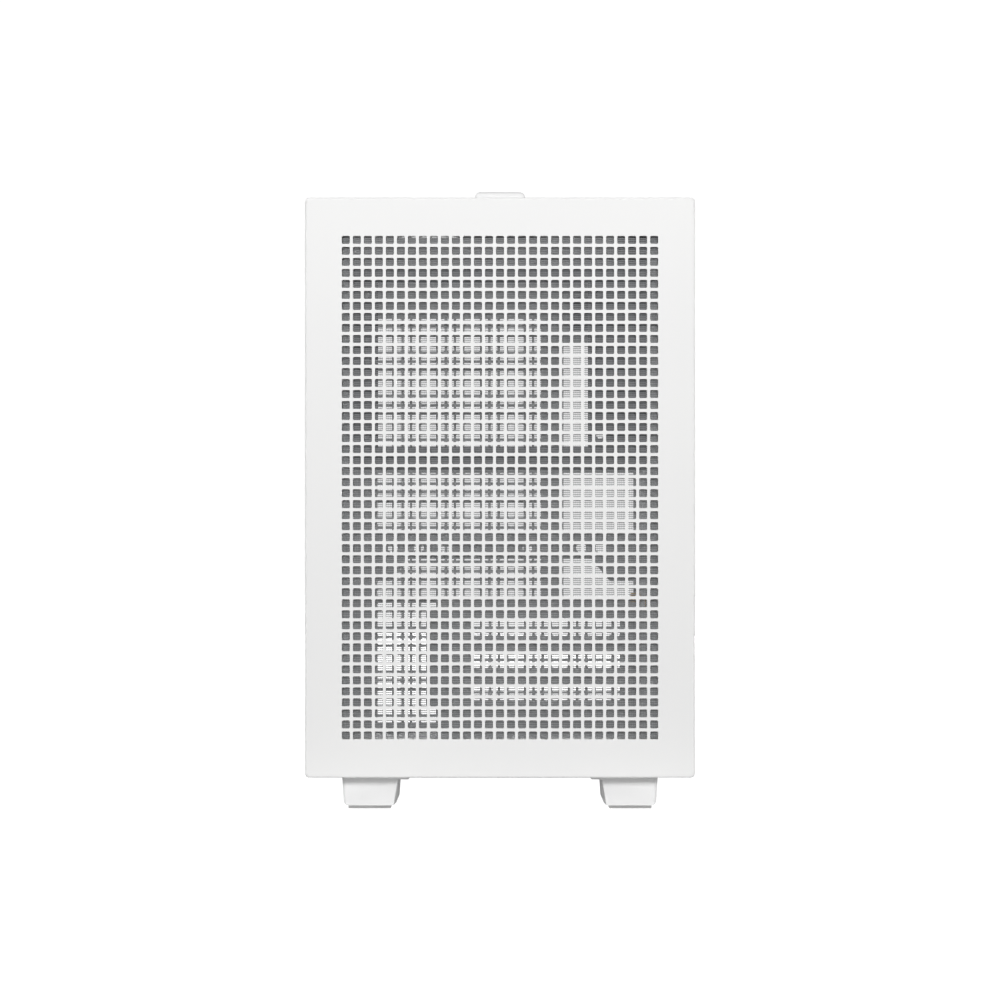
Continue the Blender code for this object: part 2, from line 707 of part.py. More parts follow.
def thumbscrew(name, x, z):
    """Captive thumbscrew, which turns about its own axis."""
    bm = bmesh.new()
    length = BACK - REAR - GAP
    profile = [(SCREW_SHAFT, -0.008), (SCREW_SHAFT, 0.0), (SCREW_HEAD - 0.0004, 0.0), (SCREW_HEAD, 0.0004),
               (SCREW_HEAD, length - 0.0006), (SCREW_HEAD - 0.0006, length)]
    origin = (x, REAR + GAP, z)
    turned(bm, origin, "Y", profile, 20)
    return make(name, bm, BARE_STEEL, origin)


def foot_places():
    """Name, side, and the foot's front and back."""
    front = FRONT + FOOT_INSET
    rear = REAR - 2 * FOOT_INSET
    places = []
    for side, label in ((-1, "left"), (1, "right")):
        places.append(("front_" + label, side, front, front + FOOT_LENGTH))
        places.append(("rear_" + label, side, rear - FOOT_LENGTH, rear))
    return places


def foot_screw_places():
    return [(side * FOOT_X, (near + far) / 2 + 0.004) for label, side, near, far in foot_places()]


def foot(label, side, near, far):
    """Tapered moulded foot with a thin tab towards the middle."""
    low = PAD_THICK + GAP
    high = BOTTOM - GAP
    top = FOOT_TOP_WIDTH / 2
    base = FOOT_BOTTOM_WIDTH / 2
    outline = [(FOOT_X + top, high), (FOOT_X + base, low + FOOT_BEVEL), (FOOT_X + base - FOOT_BEVEL, low),
               (FOOT_X - base + FOOT_BEVEL, low), (FOOT_X - base, low + FOOT_BEVEL),
               (FOOT_X - top, high - FOOT_TAB[1]),
               (FOOT_X - top - FOOT_TAB[0] + FOOT_TAB[1], high - FOOT_TAB[1]),
               (FOOT_X - top - FOOT_TAB[0], high)]
    bm = bmesh.new()
    prism(bm, [(side * x, z) for x, z in outline], near, far)
    body = make("foot_" + label, bm, WHITE_PLASTIC)
    screw = ((side * FOOT_X, (near + far) / 2 + 0.004, high - 0.0085), "Z", rod(0.0019, 0.0095))
    cut(body, turns=[screw])
    pad_x = side * (FOOT_X + 0.0004)
    pad = block("foot_pad_" + label,
                (pad_x - PAD_WIDTH / 2, near + PAD_SHORTER / 2, 0.0),
                (pad_x + PAD_WIDTH / 2, far - PAD_SHORTER / 2, PAD_THICK), RUBBER)
    return [body, pad]


def bottom_filter():
    """Slide-out filter under the floor, with a pull tab at the rear."""
    half = TRAY_FILTER_WIDTH / 2
    low = BOTTOM - 2 * GAP - TRAY_FILTER_THICK
    near = -TRAY_FILTER_LENGTH / 2
    far = TRAY_FILTER_LENGTH / 2
    border = TRAY_FILTER_BORDER
    frame = block("bottom_filter_frame", (-half, near, low), (half, far, low + TRAY_FILTER_THICK),
                  WHITE_PLASTIC)
    tab = ((-0.014, far - 0.001, low), (0.014, far + 0.009, low + TRAY_FILTER_THICK))
    operate(frame, "UNION", [tab])
    mouth = ((-half + border, near + border, low - 0.001), (half - border, far - border, low + 0.004))
    cut(frame, [mouth])
    level = low + (TRAY_FILTER_THICK - NET_THICK) / 2
    inset = border + GAP
    net = block("bottom_filter_net", (-half + inset, near + inset, level),
                (half - inset, far - inset, level + NET_THICK), NET)
    return [frame, net]


def filter_rail(name, side):
    """Angle rail that the bottom filter slides on."""
    half = TRAY_FILTER_WIDTH / 2
    high = BOTTOM - GAP
    seat = BOTTOM - 3 * GAP - TRAY_FILTER_THICK
    low = seat - RAIL_LIP
    outline = [(half + GAP, high), (half + GAP, seat), (half - 0.0018, seat), (half - 0.0018, low),
               (half + GAP + RAIL_WALL, low), (half + GAP + RAIL_WALL, high)]
    bm = bmesh.new()
    stop = 0.003
    half_length = TRAY_FILTER_LENGTH / 2
    prism(bm, [(side * x, z) for x, z in outline], -half_length + stop, half_length + stop)
    return make(name, bm, WHITE_PLASTIC)


def handle_screw_places():
    far = HANDLE_LENGTH / 2 - 0.0036
    return [(x, y) for x in (-0.007, 0.007) for y in (-far, far)]


def bevel_edges(obj, width, segments=2):
    modifier = obj.modifiers.new("bevel", "BEVEL")
    modifier.width = width
    modifier.segments = segments
    modifier.limit_method = "ANGLE"
    modifier.angle_limit = math.radians(40)


def handle_cap(name, side):
    """End cap that holds one end of the strap."""
    low = TOP + GAP
    outer = side * HANDLE_LENGTH / 2
    inner = side * (HANDLE_LENGTH / 2 - CAP_LENGTH)
    near, far = sorted((outer, inner))
    half = HANDLE_WIDTH / 2
    bm = bmesh.new()
    box(bm, (-half, near, low), (half, far, low + HANDLE_HEIGHT))
    edges = []
    for edge in bm.edges:
        ends = [vert.co for vert in edge.verts]
        on_top = all(point.z > low + HANDLE_HEIGHT / 2 for point in ends)
        on_end = all(abs(point.y) > abs(inner) + 0.001 for point in ends)
        along_inner = all(abs(point.y) < abs(inner) + 0.001 for point in ends)
        if (on_top and not along_inner) or (on_end and abs(ends[0].x - ends[1].x) < 1e-6):
            edges.append(edge)
    bmesh.ops.bevel(bm, geom=edges, offset=HANDLE_BEVEL, segments=2, profile=0.5, affect="EDGES")
    cap = make(name, bm, WHITE_PLASTIC)
    pocket_end = side * (HANDLE_LENGTH / 2 - CAP_LENGTH + STRAP_HIDDEN + GAP)
    mouth = side * (HANDLE_LENGTH / 2 - CAP_LENGTH - 0.001)
    near, far = sorted((pocket_end, mouth))
    strap = low + STRAP_RISE
    pocket = ((-STRAP_WIDTH / 2 - GAP, near, strap - GAP),
              (STRAP_WIDTH / 2 + GAP, far, strap + STRAP_THICK + GAP))
    holes = []
    for x, y in handle_screw_places():
        if side * y > 0:
            holes.append(((x, y, low - 0.001), "Z", rod(0.0017, 0.0065)))
    cut(cap, [pocket], holes)
    return cap


def handle_strap(name, side):
    """Flexible strap between a cap and the grip."""
    low = TOP + GAP + STRAP_RISE
    outer = side * (HANDLE_LENGTH / 2 - CAP_LENGTH + STRAP_HIDDEN)
    inner = side * (GRIP_LENGTH / 2 + GAP)
    near, far = sorted((outer, inner))
    return block(name, (-STRAP_WIDTH / 2, near, low), (STRAP_WIDTH / 2, far, low + STRAP_THICK), RUBBER)


def handle_grip():
    """Moulded grip on the middle of the strap, which lifts when the case is carried."""
    low = TOP + 3 * GAP
    high = TOP + GAP + HANDLE_HEIGHT - GRIP_SINK
    centre = (0.0, 0.0, (low + high) / 2)
    bm = bmesh.new()
    box(bm, (-GRIP_WIDTH / 2, -GRIP_LENGTH / 2, low), (GRIP_WIDTH / 2, GRIP_LENGTH / 2, high))
    grip = make("handle_grip", bm, WHITE_PLASTIC, centre)
    bevel_edges(grip, 0.0018)
    return grip


def port_housing():
    """Open-topped housing that carries the port board under the top panel."""
    near = PORTS_FRONT
    high = SKIN_UNDER - GAP
    low = high - HOUSING_HEIGHT
    wall = HOUSING_WALL
    far = near + HOUSING_LENGTH
    housing = block("port_housing", (PORT_X - HOUSING_HALF, near, low), (PORT_X + HOUSING_HALF, far, high),
                    BLACK_PLASTIC)
    inside = ((PORT_X - HOUSING_HALF + wall, near + wall, low + wall),
              (PORT_X + HOUSING_HALF - wall, far - wall, high + 0.001))
    cut(housing, [inside])
    board_low = low + wall + GAP
    board = block("port_board",
                  (PORT_X - HOUSING_HALF + wall + GAP, near + wall + GAP, board_low),
                  (PORT_X + HOUSING_HALF - wall - GAP, far - wall - GAP, board_low + BOARD_THICK), CIRCUIT)
    return [housing, board]


def board_top():
    return SKIN_UNDER - GAP - HOUSING_HEIGHT + HOUSING_WALL + GAP + BOARD_THICK + GAP


def usb_port(name, y, shell, tongue):
    """Metal-shelled socket that stands on the board and opens upwards."""
    width, length = shell
    low = board_top()
    high = TOP - PORT_TOP_SINK
    port = block(name, (PORT_X - width / 2, y - length / 2, low), (PORT_X + width / 2, y + length / 2, high),
                 BARE_STEEL)
    floor = high - PORT_DEPTH
    gaps = []
    for side in (-1, 1):
        edges = sorted((side * tongue / 2, side * (width / 2 - SHELL_WALL)))
        gaps.append(((PORT_X + edges[0], y - length / 2 + SHELL_WALL, floor),
                     (PORT_X + edges[1], y + length / 2 - SHELL_WALL, high + PAST)))
    cut(port, gaps)
    return port


def audio_jack():
    """Headset jack with a round mouth."""
    low = board_top()
    high = TOP - PORT_TOP_SINK
    y = PORTS_FRONT + JACK_Y
    half = JACK_BODY / 2
    jack = block("audio_jack", (PORT_X - half, y - half, low),
                 (PORT_X + half, y + half, SKIN_UNDER - 2 * GAP),
                 BLACK_PLASTIC)
    root = SKIN_UNDER - 0.003
    operate(jack, "UNION", turns=[((PORT_X, y, root), "Z", rod(JACK_NECK, high - root))])
    cut(jack, turns=[((PORT_X, y, low + 0.002), "Z", rod(JACK_BORE, high - low))])
    return jack


def power_button():
    """Round push button with a retaining flange and a plunger over the switch."""
    y = PORTS_FRONT + BUTTON_Y
    high = TOP - 0.0002
    flange = SKIN_UNDER - 2 * GAP
    foot_level = board_top() + 0.0045
    origin = (PORT_X, y, high)
    wide = BUTTON_RADIUS + BUTTON_FLANGE
    under = flange - PLUNGER_RADIUS - high
    profile = [(PLUNGER_RADIUS, foot_level - high), (PLUNGER_RADIUS, under), (wide, under),
               (wide, flange - high), (BUTTON_RADIUS, flange - high),
               (BUTTON_RADIUS, -BUTTON_EDGE), (BUTTON_RADIUS - BUTTON_EDGE, 0.0)]
    bm = bmesh.new()
    turned(bm, origin, "Z", profile, 24)
    button = make("power_button", bm, WHITE_PLASTIC, origin)
    low = board_top()
    body = block("power_switch", (PORT_X - SWITCH_HALF, y - SWITCH_HALF, low),
                 (PORT_X + SWITCH_HALF, y + SWITCH_HALF, low + SWITCH_HALF), BLACK_PLASTIC)
    bm = bmesh.new()
    light_y = PORTS_FRONT + LIGHT_Y
    pipe = [(0.002, 0.0), (0.002, 0.003), (0.001, 0.003), (0.001, TOP - GAP - low)]
    turned(bm, (PORT_X, light_y, low), "Z", pipe, 12)
    light = make("power_light", bm, CLEAR_PLASTIC)
    return [button, body, light]


clear_scene()

WHITE_STEEL = material("white_powder_coated_steel", (0.86, 0.86, 0.86), 0.5)
INNER_STEEL = material("white_inner_steel", (0.78, 0.78, 0.78), 0.5)
GREY_STEEL = material("grey_painted_steel", (0.32, 0.32, 0.33), 0.5)
BARE_STEEL = material("zinc_plated_steel", (0.62, 0.62, 0.64), 0.35, 1.0)
BRASS = material("brass", (0.75, 0.58, 0.28), 0.3, 1.0)
WHITE_PLASTIC = material("white_moulded_plastic", (0.80, 0.80, 0.80), 0.45)
BLACK_PLASTIC = material("black_moulded_plastic", (0.02, 0.02, 0.02), 0.5)
CLEAR_PLASTIC = material("clear_light_pipe", (0.75, 0.82, 0.88), 0.2)
RUBBER = material("pale_grey_rubber", (0.62, 0.62, 0.62), 0.7)
NET = material("grey_nylon_net", (0.30, 0.30, 0.30), 0.7)
CIRCUIT = material("green_circuit_board", (0.02, 0.10, 0.04), 0.4)

front_pieces = [front_panel()] + front_panel_studs() + front_filter()
carry(guide("front_panel_slide_axis", (0.0, FRONT, (BOTTOM + TOP) / 2)), front_pieces)

front_frame()
psu_bracket()
psu_shelf()
front_cross_brace()
chassis_floor()
rear_wall()
motherboard_tray()
motherboard_standoffs()
top_frame()
top_panel()
slot_covers()
slot_rail()
slot_screws()
mains_inlet()

for panel_name, panel_side in (("left_side_panel", -1), ("right_side_panel", 1)):
    axis = guide(panel_name + "_slide_axis", (panel_side * HALF, REAR, (BOTTOM + SIDE_TOP) / 2))
    pieces = [side_panel(panel_name, panel_side)]
    for screw_name, (screw_x, screw_z) in thumbscrew_places().items():
        if panel_side * screw_x > 0:
            pieces.append(thumbscrew(screw_name, screw_x, screw_z))
    carry(axis, pieces)

for place in foot_places():
    foot(*place)

filter_axis = guide("bottom_filter_slide_axis", (0.0, TRAY_FILTER_LENGTH / 2, BOTTOM - TRAY_FILTER_THICK))
carry(filter_axis, bottom_filter())
filter_rail("filter_rail_left", -1)
filter_rail("filter_rail_right", 1)

handle_cap("handle_cap_front", -1)
handle_cap("handle_cap_rear", 1)
handle_strap("handle_strap_front", -1)
handle_strap("handle_strap_rear", 1)
handle_grip()

port_housing()
power_button()
usb_port("usb_c_port", PORTS_FRONT + USB_C_Y, USB_C_SHELL, 0.0008)
usb_port("usb_a_port", PORTS_FRONT + USB_A_Y, USB_A_SHELL, 0.0018)
audio_jack()
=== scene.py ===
# Desktop computer tower: the looks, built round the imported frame. Metres, front towards -Y, up +Z.
import math

import bmesh
import bpy
from mathutils import Matrix, Vector


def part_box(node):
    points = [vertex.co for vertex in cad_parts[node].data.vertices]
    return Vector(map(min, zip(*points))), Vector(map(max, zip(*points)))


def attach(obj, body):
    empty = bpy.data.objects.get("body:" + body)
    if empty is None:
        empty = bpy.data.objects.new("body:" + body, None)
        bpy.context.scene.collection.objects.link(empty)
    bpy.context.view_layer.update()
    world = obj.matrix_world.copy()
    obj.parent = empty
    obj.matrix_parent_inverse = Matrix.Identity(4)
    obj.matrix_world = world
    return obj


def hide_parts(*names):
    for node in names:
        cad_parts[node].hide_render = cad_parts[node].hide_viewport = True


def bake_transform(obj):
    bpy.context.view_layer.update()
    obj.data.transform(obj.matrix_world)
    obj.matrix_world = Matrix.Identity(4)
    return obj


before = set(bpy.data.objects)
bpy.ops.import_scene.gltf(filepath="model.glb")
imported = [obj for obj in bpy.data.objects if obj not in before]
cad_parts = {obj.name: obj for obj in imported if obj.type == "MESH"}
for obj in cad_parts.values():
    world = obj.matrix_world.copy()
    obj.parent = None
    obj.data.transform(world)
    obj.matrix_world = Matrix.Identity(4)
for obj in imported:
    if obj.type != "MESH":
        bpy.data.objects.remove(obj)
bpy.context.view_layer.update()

mm = 0.001
tiny = 0.00001


# working on one piece at a time

def activate(piece):
    bpy.ops.object.select_all(action="DESELECT")
    piece.select_set(True)
    bpy.context.view_layer.objects.active = piece


def startEdit(piece):
    activate(piece)
    bpy.ops.object.mode_set(mode="EDIT")


def endEdit():
    bpy.ops.object.mode_set(mode="OBJECT")


def pick(kind, test):
    # selects the vertices, edges or faces that pass a test on their place
    bpy.ops.mesh.select_mode(type=kind)
    bpy.ops.mesh.select_all(action="DESELECT")
    data = bpy.context.object.data
    mesh = bmesh.from_edit_mesh(data)
    parts = {"VERT": mesh.verts, "EDGE": mesh.edges, "FACE": mesh.faces}[kind]
    for part in parts:
        if test(part):
            part.select_set(True)
    bmesh.update_edit_mesh(data)


def finishWith(piece, kind, **settings):
    activate(piece)
    modifier = piece.modifiers.new(kind.lower(), kind)
    for name, value in settings.items():
        setattr(modifier, name, value)
    bpy.ops.object.modifier_apply(modifier=modifier.name)


def repeat(piece, count, step):
    finishWith(piece, "ARRAY", fit_type="FIXED_COUNT", count=count, use_relative_offset=False,
               use_constant_offset=True, constant_offset_displace=step,
               use_merge_vertices=True, merge_threshold=tiny)


def applyPlace(piece):
    activate(piece)
    bpy.ops.object.transform_apply(location=True, rotation=True, scale=True)


def turnTo(piece, right, up, origin):
    # lays a piece drawn flat, facing +Z, on the plane of two directions
    right, up = Vector(right), Vector(up)
    turn = Matrix((right, up, right.cross(up))).transposed().to_4x4()
    piece.matrix_world = Matrix.Translation(origin) @ turn
    applyPlace(piece)
    return piece


def addBlock(name, low, high):
    bpy.ops.object.select_all(action="DESELECT")
    low, high = Vector(low), Vector(high)
    bpy.ops.mesh.primitive_cube_add(size=1, location=(low + high) / 2, scale=high - low)
    piece = bpy.context.object
    piece.name = name
    applyPlace(piece)
    return piece


def addRound(name, centre, radius, depth, axis="Z", sides=32):
    bpy.ops.object.select_all(action="DESELECT")
    turn = {"X": (0, math.pi / 2, 0), "Y": (-math.pi / 2, 0, 0), "Z": (0, 0, 0)}[axis]
    bpy.ops.mesh.primitive_cylinder_add(vertices=sides, radius=radius, depth=depth,
                                        location=centre, rotation=turn)
    piece = bpy.context.object
    piece.name = name
    applyPlace(piece)
    return piece


def combine(piece, other, operation="DIFFERENCE"):
    finishWith(piece, "BOOLEAN", operation=operation, object=other, solver="MANIFOLD")
    bpy.data.objects.remove(other, do_unlink=True)


def joinPieces(pieces, name):
    activate(pieces[0])
    for piece in pieces:
        piece.select_set(True)
    bpy.ops.object.join()
    pieces[0].name = name
    return pieces[0]


def smoothCurves(piece):
    # only faces that follow a bend or a round are smooth, so flat sheet stays flat
    startEdit(piece)
    pick("FACE", lambda face: max(abs(value) for value in face.normal) < 0.9999)
    bpy.ops.mesh.faces_shade_smooth()
    endEdit()


def smoothAll(piece, degrees=35):
    activate(piece)
    bpy.ops.object.shade_smooth_by_angle(angle=math.radians(degrees))


def roundEdges(piece, width, segments=2, degrees=40):
    finishWith(piece, "BEVEL", width=width, segments=segments, limit_method="ANGLE",
               angle_limit=math.radians(degrees))
    smoothAll(piece)


def settle(piece, body, finish, slot, *nodes):
    piece.data.materials.clear()
    piece.data.materials.append(finish)
    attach(piece, body)
    if nodes:
        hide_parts(*nodes)
    return piece


def span(node):
    low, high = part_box(node)
    return low, high, (low + high) / 2


# materials

def toLinear(hexColour):
    channels = [int(hexColour[start:start + 2], 16) / 255 for start in (1, 3, 5)]
    linear = [c / 12.92 if c <= 0.04045 else ((c + 0.055) / 1.055) ** 2.4 for c in channels]
    return (*linear, 1.0)


def addNode(tree, kind, settings=None, links=None):
    node = tree.nodes.new("ShaderNode" + kind)
    for name, value in (settings or {}).items():
        if isinstance(name, int) or name in node.inputs:
            node.inputs[name].default_value = value
        else:
            setattr(node, name, value)
    for name, source in (links or {}).items():
        tree.links.new(source, node.inputs[name])
    return node


def perMetre(size):
    # a noise pattern's scale for features of that size
    return 1.0 / size


def startFinish(name, settings):
    finish = bpy.data.materials.new(name)
    finish.use_nodes = True
    shader = finish.node_tree.nodes["Principled BSDF"]
    for socket, value in settings.items():
        shader.inputs[socket].default_value = value
    place = addNode(finish.node_tree, "TexCoord")
    return finish, finish.node_tree, shader, place.outputs["Object"]


def surfaceFinish(name, light, dark, drift, grain, depth, roughness, spread, **shaderSettings):
    # tone drifts slowly between two shades; the grain gives the bump and a little roughness
    finish, tree, shader, place = startFinish(name, shaderSettings)
    cloud = addNode(tree, "TexNoise", {"Scale": perMetre(drift), "Detail": 3.0}, {"Vector": place})
    tone = addNode(tree, "Mix", {"data_type": "RGBA", 6: toLinear(light), 7: toLinear(dark)},
                   {0: cloud.outputs["Fac"]})
    peel = addNode(tree, "TexNoise", {"Scale": perMetre(grain), "Detail": 2.0, "Roughness": 0.55},
                   {"Vector": place})
    gloss = addNode(tree, "MapRange", {"To Min": roughness - spread, "To Max": roughness + spread},
                    {"Value": peel.outputs["Fac"]})
    bump = addNode(tree, "Bump", {"Strength": 0.6, "Distance": depth}, {"Height": peel.outputs["Fac"]})
    tree.links.new(tone.outputs[2], shader.inputs["Base Color"])
    tree.links.new(gloss.outputs["Result"], shader.inputs["Roughness"])
    tree.links.new(bump.outputs["Normal"], shader.inputs["Normal"])
    return finish


# Powder-coated steel: satin white with a faint orange peel
panelCoat = surfaceFinish("powderCoatedSteel", "#F3F3F2", "#EFEFEF", 90 * mm, 0.9 * mm, 0.02 * mm,
                          0.42, 0.06, IOR=1.5)
# The same coat inside the case, thinner; its greyer tone is painted shade, darkening the inside of the
# case as if in shadow
chassisShadedCoat = surfaceFinish("chassisPowderCoatPaintedShade", "#E4E4E3", "#DEDEDE", 60 * mm, 0.9 * mm, 0.02 * mm,
                            0.48, 0.06, IOR=1.5)
# Grey coat on the power supply's bracket: painted shade, the bracket darkened as if in shadow behind the
# front frame
bracketShadeGrey = surfaceFinish("bracketPowderCoatPaintedShade", "#6E6F71", "#66676A", 40 * mm, 0.9 * mm, 0.02 * mm,
                            0.5, 0.06, IOR=1.5)
# Zinc-plated steel: cool bright metal with cloudy plating
zincPlate = surfaceFinish("zincPlatedSteel", "#D3D6D8", "#BFC3C6", 6 * mm, 0.35 * mm, 0.006 * mm,
                          0.3, 0.07, Metallic=1.0)
# Drawn brass of the hexagonal standoffs
drawnBrass = surfaceFinish("drawnBrass", "#D2AE66", "#C09A50", 3 * mm, 0.25 * mm, 0.005 * mm,
                           0.28, 0.06, Metallic=1.0)
# Spark-eroded ABS: matt white with a fine even grain
whitePlastic = surfaceFinish("mouldedAbs", "#ECECEC", "#E6E6E6", 30 * mm, 0.3 * mm, 0.02 * mm,
                             0.5, 0.08, IOR=1.53)
blackPlastic = surfaceFinish("blackNylon", "#1C1C1D", "#151516", 15 * mm, 0.3 * mm, 0.015 * mm,
                             0.46, 0.08, IOR=1.53)
# Acrylic light pipe: milky and half clear
lightPipe = surfaceFinish("acrylicLightPipe", "#E7EEF2", "#DCE6EC", 4 * mm, 0.4 * mm, 0.004 * mm,
                          0.18, 0.04, IOR=1.49)
# Silicone rubber of the foot pads and the handle's strap: dull, a trace of dust in the grain
siliconeRubber = surfaceFinish("siliconeRubber", "#EFEFEE", "#E8E8E7", 12 * mm, 0.25 * mm, 0.02 * mm,
                               0.74, 0.08, IOR=1.41)
# Nylon monofilament of the dust nets
nylonNet = surfaceFinish("nylonMonofilament", "#8E9092", "#7E8083", 5 * mm, 0.4 * mm, 0.01 * mm,
                         0.55, 0.06, IOR=1.53)


def makeCircuitBoard():
    # solder mask over copper: green, with tracks a shade lighter every 1.2 mm
    finish, tree, shader, place = startFinish("fibreglassCircuitBoard", {"IOR": 1.55, "Roughness": 0.35})
    tracks = addNode(tree, "TexBrick", {
        "Scale": perMetre(6 * mm), "Mortar Size": 0.03, "Brick Width": 0.9, "Row Height": 0.2,
        "Color1": toLinear("#0F4A2A"), "Color2": toLinear("#12532F"), "Mortar": toLinear("#2C7A4C"),
    }, {"Vector": place})
    bump = addNode(tree, "Bump", {"Strength": 0.5, "Distance": 0.03 * mm},
                   {"Height": tracks.outputs["Fac"]})
    tree.links.new(tracks.outputs["Color"], shader.inputs["Base Color"])
    tree.links.new(bump.outputs["Normal"], shader.inputs["Normal"])
    return finish


circuitBoard = makeCircuitBoard()
print("materials ready")


# perforated and folded sheet

hole = {"size": 4.0 * mm, "pitch": 5.5 * mm, "corner": 0.6 * mm, "pegReach": 3 * mm}


def perforatedField(name, columns, rows):
    # one tile is a square of sheet with a rounded square hole
    bpy.ops.object.select_all(action="DESELECT")
    bpy.ops.mesh.primitive_plane_add(size=hole["size"])
    field = bpy.context.object
    field.name = name
    bpy.ops.object.mode_set(mode="EDIT")
    bpy.ops.mesh.select_all(action="SELECT")
    bpy.ops.mesh.bevel(offset=hole["corner"], segments=2, affect="VERTICES")
    bpy.ops.mesh.delete(type="ONLY_FACE")
    bpy.ops.mesh.primitive_plane_add(size=hole["pitch"])
    bpy.ops.mesh.delete(type="ONLY_FACE")
    bpy.ops.mesh.select_all(action="SELECT")
    bpy.ops.mesh.bridge_edge_loops()
    bpy.ops.mesh.flip_normals()
    endEdit()
    repeat(field, columns, (hole["pitch"], 0, 0))
    repeat(field, rows, (0, hole["pitch"], 0))
    field.location = (-(columns - 1) * hole["pitch"] / 2, -(rows - 1) * hole["pitch"] / 2, 0)
    applyPlace(field)
    return field


def onRim(edge, half):
    ends = [vert.co for vert in edge.verts]
    alongX = all(abs(abs(end.y) - half[1]) < tiny for end in ends)
    alongY = all(abs(abs(end.x) - half[0]) < tiny for end in ends)
    return edge.is_boundary and (alongX or alongY)


def atCorner(point, half):
    return abs(abs(point.x) - half[0]) < tiny and abs(abs(point.y) - half[1]) < tiny


def perforatedSheet(name, columns, rows, flat):
    # the field grows a plain border out to the start of the folds
    sheet = perforatedField(name, columns, rows)
    half = (columns * hole["pitch"] / 2, rows * hole["pitch"] / 2)
    startEdit(sheet)
    pick("EDGE", lambda edge: onRim(edge, half))
    bpy.ops.mesh.extrude_region()
    bpy.ops.transform.resize(value=(flat[0] / half[0], flat[1] / half[1], 1), center_override=(0, 0, 0))
    pick("EDGE", lambda edge: any(atCorner(v.co, flat) for v in edge.verts)
         and any(atCorner(v.co, half) for v in edge.verts))
    bpy.ops.mesh.dissolve_edges(use_verts=False)
    endEdit()
    return sheet


def plainSheet(name, flat):
    bpy.ops.object.select_all(action="DESELECT")
    bpy.ops.mesh.primitive_plane_add(size=2)
    sheet = bpy.context.object
    sheet.name = name
    sheet.scale = (flat[0], flat[1], 1)
    applyPlace(sheet)
    return sheet


def foldSheet(sheet, flat, spec, inner=(0, 0)):
    # rounds the corners, rolls the bend and drops the walls
    startEdit(sheet)
    pick("VERT", lambda vert: atCorner(vert.co, flat))
    bpy.ops.mesh.bevel(offset=spec["corner"], segments=4, affect="VERTICES")
    pick("EDGE", lambda edge: edge.is_boundary and all(
        abs(v.co.x) > inner[0] + tiny or abs(v.co.y) > inner[1] + tiny for v in edge.verts))
    bend, steps = spec["bend"], 4
    grown, dropped = 0.0, 0.0
    for step in range(1, steps + 1):
        angle = math.pi / 2 * step / steps
        grow = bend * math.sin(angle)
        drop = bend * (1 - math.cos(angle))
        bpy.ops.mesh.extrude_region()
        stretch = [(value + grow) / (value + grown) for value in flat]
        bpy.ops.transform.resize(value=(stretch[0], stretch[1], 1), center_override=(0, 0, 0))
        bpy.ops.transform.translate(value=(0, 0, dropped - drop))
        grown, dropped = grow, drop
    bpy.ops.mesh.extrude_region()
    bpy.ops.transform.translate(value=(0, 0, bend - spec["wall"]))
    edge = (flat[0] + bend, flat[1] + bend)
    for axis, side, deeper in spec["deeper"]:
        pick("EDGE", lambda e: e.is_boundary and all(
            abs(v.co[axis] - side * edge[axis]) < tiny and abs(v.co.z + spec["wall"]) < tiny
            for v in e.verts))
        bpy.ops.mesh.extrude_region()
        bpy.ops.transform.translate(value=(0, 0, -deeper))
    endEdit()
    finishWith(sheet, "SOLIDIFY", thickness=spec["thick"], offset=-1, use_even_offset=True)


def holeCutter(columns, rows, right, up, centre):
    # a block of hole-shaped pegs that a sheet is cut with
    half = hole["size"] / 2
    cutter = addBlock("pegs", (-half, -half, -hole["pegReach"]), (half, half, hole["pegReach"]))
    startEdit(cutter)
    pick("EDGE", lambda edge: abs(edge.verts[0].co.z - edge.verts[1].co.z) > mm)
    bpy.ops.mesh.bevel(offset=hole["corner"], segments=2)
    endEdit()
    repeat(cutter, columns, (hole["pitch"], 0, 0))
    repeat(cutter, rows, (0, hole["pitch"], 0))
    cutter.location = (-(columns - 1) * hole["pitch"] / 2, -(rows - 1) * hole["pitch"] / 2, 0)
    applyPlace(cutter)
    return turnTo(cutter, right, up, centre)


# front panel

frontPanelSpec = {"columns": 29, "rows": 46, "bend": 1.0 * mm, "corner": 2.0 * mm,
                  "wall": 15.0 * mm, "thick": 1.0 * mm, "deeper": []}


def makeFrontPanel():
    low, high, middle = span("front_panel")
    spec = frontPanelSpec
    flat = ((high.x - low.x) / 2 - spec["bend"], (high.z - low.z) / 2 - spec["bend"])
    panel = perforatedSheet("frontPanel", spec["columns"], spec["rows"], flat)
    inner = (spec["columns"] * hole["pitch"] / 2, spec["rows"] * hole["pitch"] / 2)
    foldSheet(panel, flat, spec, inner)
    turnTo(panel, (1, 0, 0), (0, 0, 1), (middle.x, low.y, middle.z))
    smoothCurves(panel)
    return settle(panel, "front_panel", panelCoat, "white_panel_steel", "front_panel")


makeFrontPanel()
print("front panel done")


# side panels

sidePanelSpec = {"columns": 50, "rows": 44, "bend": 1.0 * mm, "corner": 1.2 * mm,
                 "wall": 8.0 * mm, "thick": 1.0 * mm, "deeper": []}
rearFold = 5.5 * mm
screwPass = 2.2 * mm
thumbLabels = ("left_lower", "left_upper", "right_lower", "right_upper")


